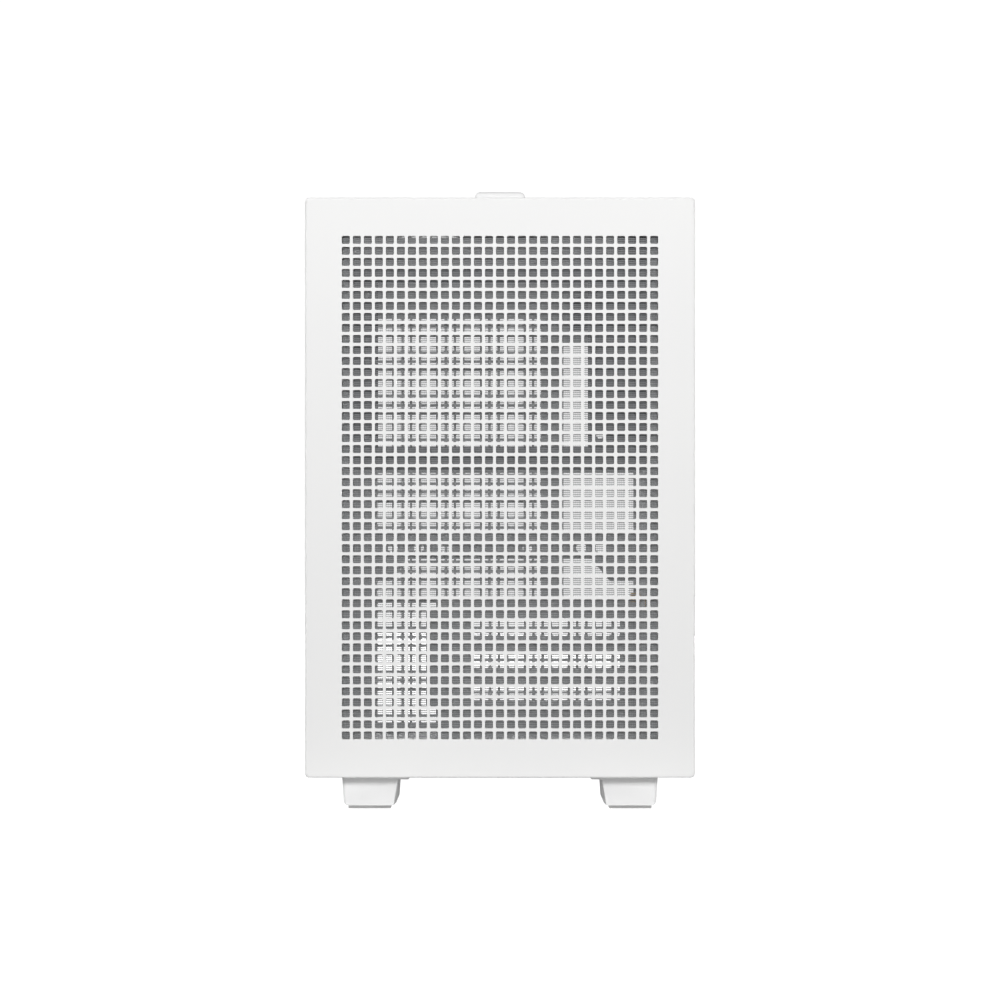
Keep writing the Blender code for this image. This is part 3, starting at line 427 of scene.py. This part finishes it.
def makeSidePanel(name, node, side):
    low, high, middle = span(node)
    # the fold behind the rear wall is deeper than the others and carries the thumbscrews
    spec = dict(sidePanelSpec, deeper=[(0, side, rearFold)])
    flat = ((high.y - low.y) / 2 - spec["bend"], (high.z - low.z) / 2 - spec["bend"])
    panel = perforatedSheet(name, spec["columns"], spec["rows"], flat)
    inner = (spec["columns"] * hole["pitch"] / 2, spec["rows"] * hole["pitch"] / 2)
    foldSheet(panel, flat, spec, inner)
    face = high.x if side > 0 else low.x
    turnTo(panel, (0, side, 0), (0, 0, 1), (face, middle.y, middle.z))
    label = "right" if side > 0 else "left"
    for level in ("lower", "upper"):
        screw = span("thumbscrew_" + label + "_" + level)[2]
        combine(panel, addRound("passHole", (screw.x, high.y, screw.z), screwPass, 6 * mm, "Y", 20))
    smoothCurves(panel)
    return settle(panel, node, panelCoat, "white_panel_steel", node)


makeSidePanel("leftSidePanel", "left_side_panel", -1)
makeSidePanel("rightSidePanel", "right_side_panel", 1)
print("side panels done")


# top panel

topPanelSpec = {"bend": 1.0 * mm, "corner": 0.5 * mm, "wall": 4.0 * mm, "thick": 1.0 * mm,
                "deeper": [(0, -1, 8.0 * mm), (0, 1, 8.0 * mm), (1, 1, 8.0 * mm)],
                "columns": 10, "rows": 35, "fieldX": 50.5 * mm, "rearMargin": 16.5 * mm,
                "cut": 8 * mm, "screwHole": 1.9 * mm}
# round openings: how far each is inside the piece below it, and its sides
roundPorts = (("power_button", 0.9 * mm, 48), ("power_light", 0.7 * mm, 20), ("audio_jack", 1.0 * mm, 32))
# slots for the sockets: the corner radius of each, and how far the slot passes the socket
slotPorts = {"usb_c_port": 1.9 * mm, "usb_a_port": 0.7 * mm}
slotReach = Vector((0.6, 0.9, 0)) * mm


def makeTopPanel():
    low, high, middle = span("top_panel")
    spec = topPanelSpec
    flat = ((high.x - low.x) / 2 - spec["bend"], (high.y - low.y) / 2 - spec["bend"])
    panel = plainSheet("topPanel", flat)
    foldSheet(panel, flat, spec)
    turnTo(panel, (1, 0, 0), (0, 1, 0), (middle.x, middle.y, high.z))
    fieldY = high.y - spec["rearMargin"] - spec["rows"] * hole["pitch"] / 2
    for side in (-1, 1):
        centre = (side * spec["fieldX"], fieldY, high.z)
        combine(panel, holeCutter(spec["columns"], spec["rows"], (1, 0, 0), (0, 1, 0), centre))
    for node, inset, sides in roundPorts:
        box = span(node)
        radius = (box[1].x - box[0].x) / 2 - inset
        combine(panel, addRound("portHole", (box[2].x, box[2].y, high.z), radius, spec["cut"], "Z", sides))
    for node, corner in slotPorts.items():
        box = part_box(node)
        slit = addBlock("portSlot", (*(box[0] - slotReach).xy, high.z - spec["cut"] / 2),
                        (*(box[1] + slotReach).xy, high.z + spec["cut"] / 2))
        startEdit(slit)
        pick("EDGE", lambda edge: abs(edge.verts[0].co.z - edge.verts[1].co.z) > mm)
        bpy.ops.mesh.bevel(offset=corner, segments=5)
        endEdit()
        combine(panel, slit)
    for x, y in handleScrews:
        combine(panel, addRound("screwHole", (x, y, high.z), spec["screwHole"], spec["cut"], "Z", 16))
    smoothCurves(panel)
    return settle(panel, "chassis", panelCoat, "white_panel_steel", "top_panel")


# the handle is held by four screws, set in from the outer ends of its caps
handleEnd = 3.6 * mm
screwX = 7 * mm
screwY = abs(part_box("handle_cap_front")[0].y) - handleEnd
handleScrews = [(x, side * screwY) for x in (-screwX, screwX) for side in (-1, 1)]
makeTopPanel()
print("top panel done")


# rear wall, card slots and mains inlet

rearSpec = {"mainVent": (19, 32), "lowVent": (7, 14), "ventSide": 19.5 * mm, "slotHeight": 14.5 * mm,
            "connector": (44.45 * mm, 158.75 * mm), "connectorEdge": 2.6 * mm, "openingRise": 19.36 * mm,
            "cornerCut": 8.3 * mm, "gap": 1.3 * mm, "reach": 2 * mm, "holeDepth": 6 * mm,
            "slotLeft": 1.6 * mm, "slotRight": 5 * mm, "ventDrop": 3 * mm, "screwHole": 1.9 * mm}
inletSpec = {"halfWidth": 13.8 * mm, "halfHeight": 10.3 * mm, "screwX": 20 * mm, "screwHole": 1.8 * mm,
             "bladeRoot": 2.6 * mm, "bladeLength": 14.2 * mm, "bladeHalf": (1.05 * mm, 2.05 * mm),
             "blades": ((-7 * mm, -2 * mm), (0, 2 * mm), (7 * mm, -2 * mm))}


def makeRearWall():
    low, high, middle = span("rear_wall")
    spec = rearSpec
    wall = addBlock("rearWall", low, high)
    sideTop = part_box("left_side_panel")[1].z
    reach, gap = spec["reach"], spec["gap"]
    near, far = low.y - reach, high.y + reach
    for side in (-1, 1):
        edges = sorted((side * (high.x - spec["cornerCut"] + gap), side * (high.x + reach)))
        notch = addBlock("notch", (edges[0], near, sideTop - gap), (edges[1], far, high.z + reach))
        combine(wall, notch)
    # connector opening, a standard size, level with the board on its standoffs
    standoff = span("motherboard_standoff_1")
    right = standoff[0].x + spec["connectorEdge"]
    covers = [span("slot_cover_" + str(index)) for index in (1, 2, 3)]
    foot = covers[2][2].z + spec["openingRise"]
    left = right - spec["connector"][0]
    combine(wall, addBlock("opening", (left, near, foot), (right, far, foot + spec["connector"][1])))
    for cover in covers:
        half = spec["slotHeight"] / 2
        combine(wall, addBlock("slot", (cover[0].x - spec["slotLeft"], near, cover[2].z - half),
                               (cover[1].x - spec["slotRight"], far, cover[2].z + half)))
    inlet = span("mains_inlet")[2]
    halfWidth, halfHeight = inletSpec["halfWidth"], inletSpec["halfHeight"]
    combine(wall, addBlock("inletHole", (inlet.x - halfWidth, near, inlet.z - halfHeight),
                           (inlet.x + halfWidth, far, inlet.z + halfHeight)))
    holes = [(inlet.x + side * inletSpec["screwX"], inlet.z, inletSpec["screwHole"]) for side in (-1, 1)]
    for label in thumbLabels:
        screw = span("thumbscrew_" + label)[2]
        holes.append((screw.x, screw.z, spec["screwHole"]))
    for x, z, radius in holes:
        combine(wall, addRound("screwHole", (x, middle.y, z), radius, spec["holeDepth"], "Y", 20))
    edge = -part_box("left_side_panel")[0].x - spec["ventSide"]
    columns, rows = spec["mainVent"]
    centre = (-edge + columns * hole["pitch"] / 2, middle.y, foot + rows * hole["pitch"] / 2)
    combine(wall, holeCutter(columns, rows, (1, 0, 0), (0, 0, 1), centre))
    columns, rows = spec["lowVent"]
    ventTop = foot - spec["ventDrop"]
    centre = (-edge + columns * hole["pitch"] / 2, middle.y, ventTop - rows * hole["pitch"] / 2)
    combine(wall, holeCutter(columns, rows, (1, 0, 0), (0, 0, 1), centre))
    smoothCurves(wall)
    return settle(wall, "chassis", chassisShadedCoat, "white_chassis_steel", "rear_wall")


slotCoverSpec = {"columns": 17, "rows": 2, "thick": 1.0 * mm, "tabHeight": 13.0 * mm, "corner": 1.2 * mm,
                 "tabCorner": 2.0 * mm, "screwHole": 1.6 * mm, "fieldShift": 4 * mm}


def makeSlotCover(index):
    node = "slot_cover_" + str(index)
    low, high, middle = span(node)
    spec = slotCoverSpec
    cover = addBlock("slotCover" + str(index), low, (high.x, low.y + spec["thick"], high.z))
    startEdit(cover)
    pick("EDGE", lambda edge: abs(edge.verts[0].co.y - edge.verts[1].co.y) > spec["thick"] / 2)
    bpy.ops.mesh.bevel(offset=spec["corner"], segments=3)
    endEdit()
    tab = addBlock("tab", (low.x, low.y + spec["thick"] / 2, middle.z - spec["tabHeight"] / 2),
                   (low.x + spec["thick"], high.y, middle.z + spec["tabHeight"] / 2))
    startEdit(tab)
    pick("EDGE", lambda edge: all(v.co.y > high.y - tiny for v in edge.verts)
         and abs(edge.verts[0].co.x - edge.verts[1].co.x) > spec["thick"] / 2)
    bpy.ops.mesh.bevel(offset=spec["tabCorner"], segments=3)
    endEdit()
    combine(cover, tab, "UNION")
    screw = span("slot_cover_screw_" + str(index))[2]
    combine(cover, addRound("screwHole", (low.x, screw.y, screw.z), spec["screwHole"], 4 * mm, "X", 16))
    centre = (middle.x + spec["fieldShift"], low.y, middle.z)
    combine(cover, holeCutter(spec["columns"], spec["rows"], (1, 0, 0), (0, 0, 1), centre))
    smoothCurves(cover)
    return settle(cover, "chassis", panelCoat, "plated_steel", node)


makeRearWall()
for index in (1, 2, 3):
    makeSlotCover(index)
print("rear wall done")


# sheet parts inside the case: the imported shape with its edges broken

def copyPacked(node, name):
    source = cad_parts[node]
    piece = bpy.data.objects.new(name, source.data.copy())
    bpy.context.scene.collection.objects.link(piece)
    startEdit(piece)
    bpy.ops.mesh.select_all(action="SELECT")
    bpy.ops.mesh.remove_doubles(threshold=tiny / 2)
    bpy.ops.mesh.dissolve_limited(angle_limit=math.radians(0.5))
    endEdit()
    return piece


def refine(node, name, edge, finish, slot, body="chassis", segments=2):
    piece = copyPacked(node, name)
    roundEdges(piece, edge, segments)
    return settle(piece, body, finish, slot, node)


for node, name, finish, slot in (
        ("front_frame", "frontFrame", chassisShadedCoat, "white_chassis_steel"),
        # the bracket's grey coat is painted shade
        ("psu_bracket", "powerSupplyBracket", bracketShadeGrey, "grey_bracket_steel"),
        ("front_cross_brace", "frontBrace", chassisShadedCoat, "white_chassis_steel"),
        ("motherboard_tray", "motherboardTray", chassisShadedCoat, "white_chassis_steel"),
        ("top_frame", "topFrame", chassisShadedCoat, "white_chassis_steel"),
        ("slot_screw_rail", "slotScrewRail", chassisShadedCoat, "plated_steel")):
    refine(node, name, 0.25 * mm, finish, slot)
for index in (1, 2, 3, 4):
    refine("motherboard_standoff_" + str(index), "standoff" + str(index), 0.3 * mm, drawnBrass, "brass")
    refine("front_panel_stud_" + str(index), "ballStud" + str(index), 0.15 * mm, zincPlate, "plated_steel",
           "front_panel")


def makePiercedPlate(node, name, columns, rows, level):
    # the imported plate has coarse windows, so the plate is drawn again with its true small holes
    low, high, middle = span(node)
    plate = addBlock(name, (low.x, low.y, level), high)
    combine(plate, holeCutter(columns, rows, (1, 0, 0), (0, 1, 0), (middle.x, middle.y, high.z)))
    return plate


def makeShelf():
    low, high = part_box("psu_shelf")
    shelf = makePiercedPlate("psu_shelf", "powerSupplyShelf", 24, 18, high.z - mm)
    for near, far in ((low.y, low.y + mm), (high.y - mm, high.y)):
        combine(shelf, addBlock("fold", (low.x, near, low.z), (high.x, far, high.z - mm / 2)), "UNION")
    smoothCurves(shelf)
    return settle(shelf, "chassis", chassisShadedCoat, "white_chassis_steel", "psu_shelf")


def makeFloor():
    low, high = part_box("chassis_floor")
    floor = addBlock("chassisFloor", low, high)
    combine(floor, holeCutter(11, 40, (1, 0, 0), (0, 1, 0), (0, 0, high.z)))
    for x, y in footScrews:
        combine(floor, addRound("screwHole", (x, y, high.z), 2.0 * mm, 6 * mm, "Z", 20))
    smoothCurves(floor)
    return settle(floor, "chassis", chassisShadedCoat, "white_chassis_steel", "chassis_floor")


footLabels = ("front_left", "front_right", "rear_left", "rear_right")
footScrews = []
for label in footLabels:
    pad = span("foot_pad_" + label)[2]
    footScrews.append((math.copysign(abs(pad.x) - 0.4 * mm, pad.x), pad.y + 4 * mm))
makeShelf()
makeFloor()
print("inner sheet parts done")


# screws

def makeScrew(name, place, axis, head, rise, shank, length):
    # domed head with a cross recess; the shank is a plain rod below it
    screw = addRound(name, (0, 0, rise / 2), head, rise)
    startEdit(screw)
    pick("FACE", lambda face: face.normal.z < -0.9)
    bpy.ops.mesh.inset(thickness=head - shank)
    bpy.ops.mesh.extrude_region()
    bpy.ops.transform.translate(value=(0, 0, -length))
    pick("EDGE", lambda edge: all(v.co.z > rise - tiny for v in edge.verts))
    bpy.ops.mesh.bevel(offset=rise * 0.45, segments=3)
    endEdit()
    arm, half, sink = head * 0.55, head * 0.12, rise * 0.55
    cross = addBlock("crossSlot", (-arm, -half, rise - sink), (arm, half, rise + mm))
    other = addBlock("crossSlot", (-half, -arm, rise - sink), (half, arm, rise + mm))
    combine(cross, other, "UNION")
    combine(screw, cross)
    screw.rotation_euler = {"X": (0, math.pi / 2, 0), "Y": (-math.pi / 2, 0, 0), "Z": (0, 0, 0),
                            "-Z": (math.pi, 0, 0)}[axis]
    screw.location = place
    applyPlace(screw)
    smoothAll(screw)
    return screw


for index in (1, 2, 3):
    node = "slot_cover_screw_" + str(index)
    high, middle = span(node)[1:]
    screw = makeScrew("slotScrew" + str(index), (high.x - 1.8 * mm, middle.y, middle.z), "X",
                      2.6 * mm, 1.8 * mm, 1.3 * mm, 4.5 * mm)
    settle(screw, "chassis", zincPlate, "plated_steel", node)
for number, (x, y) in enumerate(handleScrews, 1):
    # the handle's screws come up through the lid, so their heads are inside the case
    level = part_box("top_panel")[1].z - 1.05 * mm
    screw = makeScrew("handleScrew" + str(number), (x, y, level), "-Z",
                      2.9 * mm, 1.6 * mm, 1.3 * mm, 7 * mm)
    settle(screw, "chassis", zincPlate, "plated_steel")
for number, (x, y) in enumerate(footScrews, 1):
    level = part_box("chassis_floor")[1].z + 0.05 * mm
    screw = makeScrew("footScrew" + str(number), (x, y, level), "Z",
                      3.4 * mm, 1.9 * mm, 1.5 * mm, 8 * mm)
    settle(screw, "chassis", zincPlate, "plated_steel")
inletFace = span("mains_inlet")
for number, side in enumerate((-1, 1), 1):
    place = (inletFace[2].x + side * inletSpec["screwX"], inletFace[1].y + 0.05 * mm, inletFace[2].z)
    screw = makeScrew("inletScrew" + str(number), place, "Y", 2.8 * mm, 1.5 * mm, 1.4 * mm, 6 * mm)
    settle(screw, "chassis", zincPlate, "plated_steel")
print("screws done")


# thumbscrews

thumbSpec = {"head": 5.0 * mm, "shank": 1.6 * mm, "length": 8.0 * mm, "ridges": 30, "valley": 0.93,
             "slotArm": 2.6 * mm, "slotHalf": 0.5 * mm, "slotDepth": 1.6 * mm}


def makeThumbscrew(label):
    node = "thumbscrew_" + label
    low, high, middle = span(node)
    spec = thumbSpec
    depth = high.y - low.y - spec["length"]
    words = label.split("_")
    name = "thumbscrew" + words[0].capitalize() + words[1].capitalize()
    screw = addRound(name, (0, 0, depth / 2), spec["head"], depth, "Z", 2 * spec["ridges"])
    startEdit(screw)
    pick("FACE", lambda face: face.normal.z < -0.9)
    bpy.ops.mesh.inset(thickness=spec["head"] - spec["shank"])
    bpy.ops.mesh.extrude_region()
    bpy.ops.transform.translate(value=(0, 0, -spec["length"]))
    # the knurl: every other edge of the head is drawn in
    turn = math.pi / spec["ridges"]
    pick("VERT", lambda vert: vert.co.xy.length > spec["head"] - tiny
         and round(math.atan2(vert.co.y, vert.co.x) / turn + 100) % 2 == 0)
    bpy.ops.transform.resize(value=(spec["valley"], spec["valley"], 1), center_override=(0, 0, 0))
    pick("FACE", lambda face: face.normal.z > 0.9 and face.calc_area() > spec["head"] ** 2)
    bpy.ops.mesh.inset(thickness=0.7 * mm)
    bpy.ops.mesh.inset(thickness=0.2 * mm)
    bpy.ops.transform.translate(value=(0, 0, -0.3 * mm))
    endEdit()
    arm, half = spec["slotArm"], spec["slotHalf"]
    slotFoot, slotTop = depth - spec["slotDepth"], depth + mm
    cross = addBlock("crossSlot", (-arm, -half, slotFoot), (arm, half, slotTop))
    other = addBlock("crossSlot", (-half, -arm, slotFoot), (half, arm, slotTop))
    combine(cross, other, "UNION")
    combine(screw, cross)
    finishWith(screw, "BEVEL", width=0.18 * mm, segments=1, limit_method="ANGLE",
               angle_limit=math.radians(60))
    screw.rotation_euler = (-math.pi / 2, 0, 0)
    screw.location = (middle.x, high.y - depth, middle.z)
    applyPlace(screw)
    smoothAll(screw, 20)
    return settle(screw, node, zincPlate, "plated_steel", node)


for label in thumbLabels:
    makeThumbscrew(label)
print("thumbscrews done")


# mains inlet

def makeInlet():
    refine("mains_inlet", "mainsInlet", 0.3 * mm, blackPlastic, "black_plastic")
    low, _, middle = span("mains_inlet")
    root = low.y + inletSpec["bladeRoot"]
    wide, tall = inletSpec["bladeHalf"]
    for number, (across, up) in enumerate(inletSpec["blades"], 1):
        x, z = middle.x + across, middle.z + up
        blade = addBlock("inletBlade" + str(number), (x - wide, root, z - tall),
                         (x + wide, root + inletSpec["bladeLength"], z + tall))
        roundEdges(blade, 0.35 * mm, 3)
        settle(blade, "chassis", zincPlate, "plated_steel")


makeInlet()
print("mains inlet done")


# dust nets

frontNet = {"pitch": 1.0 * mm, "thread": 0.36 * mm}
floorNet = {"pitch": 1.1 * mm, "thread": 0.3 * mm}
ribbon = 0.16 * mm
weftLevel = 0.17 * mm


def makeThreads(name, run, across, spec, level):
    # one thread is a flat ribbon, and the array lays it side by side
    count = int(across / spec["pitch"])
    half = spec["thread"] / 2
    start = -(count - 1) * spec["pitch"] / 2
    thread = addBlock(name, (start - half, -run / 2, level), (start + half, run / 2, level + ribbon))
    repeat(thread, count, (spec["pitch"], 0, 0))
    return thread


def makeNet(name, width, length, spec):
    warp = makeThreads("warp", length, width, spec, 0.0)
    weft = makeThreads("weft", width, length, spec, weftLevel)
    weft.rotation_euler = (0, 0, math.pi / 2)
    applyPlace(weft)
    return joinPieces([warp, weft], name)


def makeNets():
    low, high, middle = span("front_filter_net")
    net = makeNet("frontFilterNet", high.x - low.x, high.z - low.z, frontNet)
    turnTo(net, (1, 0, 0), (0, 0, 1), (middle.x, high.y, middle.z))
    settle(net, "front_panel", nylonNet, "nylon_net", "front_filter_net")
    low, high, middle = span("bottom_filter_net")
    net = makeNet("bottomFilterNet", high.x - low.x, high.y - low.y, floorNet)
    turnTo(net, (1, 0, 0), (0, 1, 0), (middle.x, middle.y, low.z))
    settle(net, "bottom_filter", nylonNet, "nylon_net", "bottom_filter_net")


makeNets()
refine("front_filter_frame", "frontFilterFrame", 0.35 * mm, whitePlastic, "white_plastic", "front_panel")
refine("bottom_filter_frame", "bottomFilterFrame", 0.4 * mm, whitePlastic, "white_plastic",
       "bottom_filter", 3)
refine("filter_rail_left", "filterRailLeft", 0.25 * mm, whitePlastic, "white_plastic")
refine("filter_rail_right", "filterRailRight", 0.25 * mm, whitePlastic, "white_plastic")
print("dust filters done")


# feet

footRound = 2.0 * mm


def makeFoot(label, name):
    node = "foot_" + label
    foot = copyPacked(node, name)
    startEdit(foot)
    # the upright edges at the foot's two ends are rounded
    pick("EDGE", lambda edge: abs(edge.verts[0].co.z - edge.verts[1].co.z) > 8 * mm
         and abs(edge.verts[0].co.y - edge.verts[1].co.y) < tiny
         and abs(edge.verts[0].co.x - edge.verts[1].co.x) > tiny)
    bpy.ops.mesh.bevel(offset=footRound, segments=5)
    endEdit()
    roundEdges(foot, 0.3 * mm, 2, 50)
    return settle(foot, "chassis", whitePlastic, "white_plastic", node)


for label in footLabels:
    words = label.split("_")
    tail = words[0].capitalize() + words[1].capitalize()
    makeFoot(label, "foot" + tail)
    refine("foot_pad_" + label, "footPad" + tail, 0.12 * mm, siliconeRubber, "pale_rubber")
print("feet done")


# carrying handle

gripSpec = {"edge": 1.8 * mm, "recess": 0.35 * mm, "margin": 3.2 * mm}
strapSpec = {"steps": 26, "edge": 0.9 * mm}


def makeGrip():
    low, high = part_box("handle_grip")
    spec = gripSpec
    grip = addBlock("handleGrip", low, high)
    startEdit(grip)
    pick("EDGE", lambda edge: True)
    bpy.ops.mesh.bevel(offset=spec["edge"], segments=5)
    pick("FACE", lambda face: face.normal.z > 0.99 and face.calc_area() > (10 * mm) ** 2)
    bpy.ops.mesh.inset(thickness=spec["margin"])
    bpy.ops.mesh.inset(thickness=spec["recess"])
    bpy.ops.transform.translate(value=(0, 0, -spec["recess"]))
    endEdit()
    smoothAll(grip, 30)
    return settle(grip, "handle_grip", whitePlastic, "white_plastic", "handle_grip")


def makeStrap(node, name):
    low, high, middle = span(node)
    spec = strapSpec
    strap = addBlock(name, low, high)
    startEdit(strap)
    pick("EDGE", lambda edge: abs(edge.verts[0].co.y - edge.verts[1].co.y) > mm)
    bpy.ops.mesh.bevel(offset=spec["edge"], segments=3)
    # cut across into short lengths
    length = (high.y - low.y) / spec["steps"]
    for step in range(1, spec["steps"]):
        bpy.ops.mesh.select_all(action="SELECT")
        bpy.ops.mesh.bisect(plane_co=(0, low.y + step * length, 0), plane_no=(0, 1, 0))
    endEdit()
    smoothAll(strap, 30)
    strap.data.materials.clear()
    strap.data.materials.append(siliconeRubber)
    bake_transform(strap)
    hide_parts(node)
    return strap


refine("handle_cap_front", "handleCapFront", 0.3 * mm, whitePlastic, "white_plastic", "chassis", 3)
refine("handle_cap_rear", "handleCapRear", 0.3 * mm, whitePlastic, "white_plastic", "chassis", 3)
makeStrap("handle_strap_front", "handleStrapFront")
makeStrap("handle_strap_rear", "handleStrapRear")
makeGrip()
print("handle done")


# ports and power button

buttonSpec = {"radius": 6.5 * mm, "height": 3 * mm, "stemRadius": 1.5 * mm, "stemDrop": 1.2 * mm,
              "flangeWide": 1.2 * mm, "flangeHigh": 1.4 * mm, "flangeDrop": 2.15 * mm}
# each step of the cap's ring: how far in, then how far up, in millimetres
buttonRing = ((0.35, 0.0), (1.9, 0.0), (0.3, -0.25), (0.5, 0.0), (0.3, 0.25))


def makeButton():
    low, high, middle = span("power_button")
    spec = buttonSpec
    top = addRound("powerButton", (middle.x, middle.y, high.z - spec["height"] / 2),
                   spec["radius"], spec["height"], "Z", 64)
    startEdit(top)
    # a shallow ring is pressed round the middle of the cap
    pick("FACE", lambda face: face.normal.z > 0.9)
    for inset, rise in buttonRing:
        bpy.ops.mesh.inset(thickness=inset * mm)
        bpy.ops.transform.translate(value=(0, 0, rise * mm))
    endEdit()
    stem = addRound("stem", (middle.x, middle.y, middle.z - spec["stemDrop"] / 2),
                    spec["stemRadius"], high.z - low.z - spec["stemDrop"])
    flange = addRound("flange", (middle.x, middle.y, high.z - spec["flangeDrop"]),
                      spec["radius"] + spec["flangeWide"], spec["flangeHigh"], "Z", 64)
    combine(top, flange, "UNION")
    combine(top, stem, "UNION")
    finishWith(top, "BEVEL", width=0.2 * mm, segments=2, limit_method="ANGLE",
               angle_limit=math.radians(50))
    smoothAll(top, 30)
    return settle(top, "power_button", whitePlastic, "white_plastic", "power_button")


makeButton()
for node, name, edge, finish, slot in (
        ("port_housing", "portHousing", 0.25 * mm, blackPlastic, "black_plastic"),
        ("port_board", "portBoard", 0.1 * mm, circuitBoard, "circuit_board"),
        ("power_switch", "powerSwitch", 0.2 * mm, blackPlastic, "black_plastic"),
        ("power_light", "powerLight", 0.15 * mm, lightPipe, "clear_plastic"),
        ("usb_c_port", "usbPortC", 0.08 * mm, zincPlate, "plated_steel"),
        ("usb_a_port", "usbPortA", 0.08 * mm, zincPlate, "plated_steel"),
        ("audio_jack", "audioJack", 0.15 * mm, blackPlastic, "black_plastic")):
    refine(node, name, edge, finish, slot)
print("ports done")


# stage, light and camera

studio = {"lensDistance": 1.4244, "eyeHeight": 0.129, "lens": 90.58, "shift": 0.0527,
          "floorGlow": 0.92, "card": (0.24, 0.4), "cardGlow": 0.15,
          "groundLight": 0.16, "skyLight": 0.36, "seenWhite": 1.05}
# place, aim, width, height and watts of each soft light
softLights = {
    "frontSoftbox": ((0.0, -2.0, 0.95), (0, 0, 0.2), 1.8, 0.6, 29.5),
    "lowSoftbox": ((0.0, -2.2, 0.12), (0, 0, 0.05), 1.0, 0.2, 2.5),
    "rearSoftbox": ((0.5, 2.4, 0.5), (0, 0, 0.15), 1.4, 0.9, 26),
    "leftSoftbox": ((-2.3, 0.5, 0.45), (0, 0, 0.15), 1.2, 0.8, 12),
    "rightSoftbox": ((2.3, 0.5, 0.45), (0, 0, 0.15), 1.2, 0.8, 12)}


def makeStage():
    bpy.ops.object.select_all(action="DESELECT")
    bpy.ops.mesh.primitive_plane_add(size=12, location=(0, 0, -0.05 * mm))
    floor = bpy.context.object
    floor.name = "studioFloor"
    finish, tree, shader, place = startFinish("paleStudioFloor", {
        "Roughness": 0.9, "Emission Color": (1, 1, 1, 1), "Emission Strength": studio["floorGlow"]})
    cloud = addNode(tree, "TexNoise", {"Scale": perMetre(400 * mm), "Detail": 2.0}, {"Vector": place})
    tone = addNode(tree, "Mix", {"data_type": "RGBA", 6: toLinear("#FDFDFD"), 7: toLinear("#FAFAFA")},
                   {0: cloud.outputs["Fac"]})
    tree.links.new(tone.outputs[2], shader.inputs["Base Color"])
    floor.data.materials.append(finish)
    floor.visible_diffuse = False
    floor.visible_glossy = False

    # a white card under the feet, out of the camera's sight, throws light up at them
    bpy.ops.object.select_all(action="DESELECT")
    bpy.ops.mesh.primitive_plane_add(size=1, location=(0, 0, -0.1 * mm))
    card = bpy.context.object
    card.name = "bounceCard"
    card.scale = (*studio["card"], 1)
    card.visible_camera = False
    cardFinish = finish.copy()
    cardFinish.name = "whiteCard"
    cardShader = cardFinish.node_tree.nodes["Principled BSDF"]
    cardShader.inputs["Emission Strength"].default_value = studio["cardGlow"]
    card.data.materials.append(cardFinish)

    world = bpy.data.worlds.new("paleStudio")
    bpy.context.scene.world = world
    world.use_nodes = True
    backdrop = world.node_tree.nodes["Background"]
    # the sky half lights the object, the ground half gives back little; what is seen is plain white
    place = addNode(world.node_tree, "TexCoord")
    height = addNode(world.node_tree, "SeparateXYZ", {}, {"Vector": place.outputs["Generated"]})
    light = addNode(world.node_tree, "MapRange", {
        "From Min": -0.25, "From Max": 0.25,
        "To Min": studio["groundLight"], "To Max": studio["skyLight"],
    }, {"Value": height.outputs["Z"]})
    path = addNode(world.node_tree, "LightPath")
    strength = addNode(world.node_tree, "Mix", {"data_type": "FLOAT", 3: studio["seenWhite"]},
                       {0: path.outputs["Is Camera Ray"], 2: light.outputs["Result"]})
    backdrop.inputs["Color"].default_value = (1, 1, 1, 1)
    world.node_tree.links.new(strength.outputs[0], backdrop.inputs["Strength"])


def addSoftLight(name, place, aim, width, height, power):
    light = bpy.data.lights.new(name, "AREA")
    light.shape = "RECTANGLE"
    light.size = width
    light.size_y = height
    light.energy = power
    lamp = bpy.data.objects.new(name, light)
    bpy.context.scene.collection.objects.link(lamp)
    lamp.location = place
    lamp.rotation_euler = (Vector(aim) - Vector(place)).to_track_quat("-Z", "Y").to_euler()


def makeCamera():
    lens = bpy.data.cameras.new("camera")
    lens.lens = studio["lens"]
    lens.sensor_width = 36.0
    lens.shift_y = studio["shift"]
    camera = bpy.data.objects.new("camera", lens)
    bpy.context.scene.collection.objects.link(camera)
    camera.location = (0, -studio["lensDistance"], studio["eyeHeight"])
    camera.rotation_euler = (math.pi / 2, 0, 0)
    bpy.context.scene.camera = camera


makeStage()
for name, settings in softLights.items():
    addSoftLight(name, *settings)
makeCamera()
bpy.context.scene.view_settings.view_transform = "Standard"
print("stage, light and camera done")
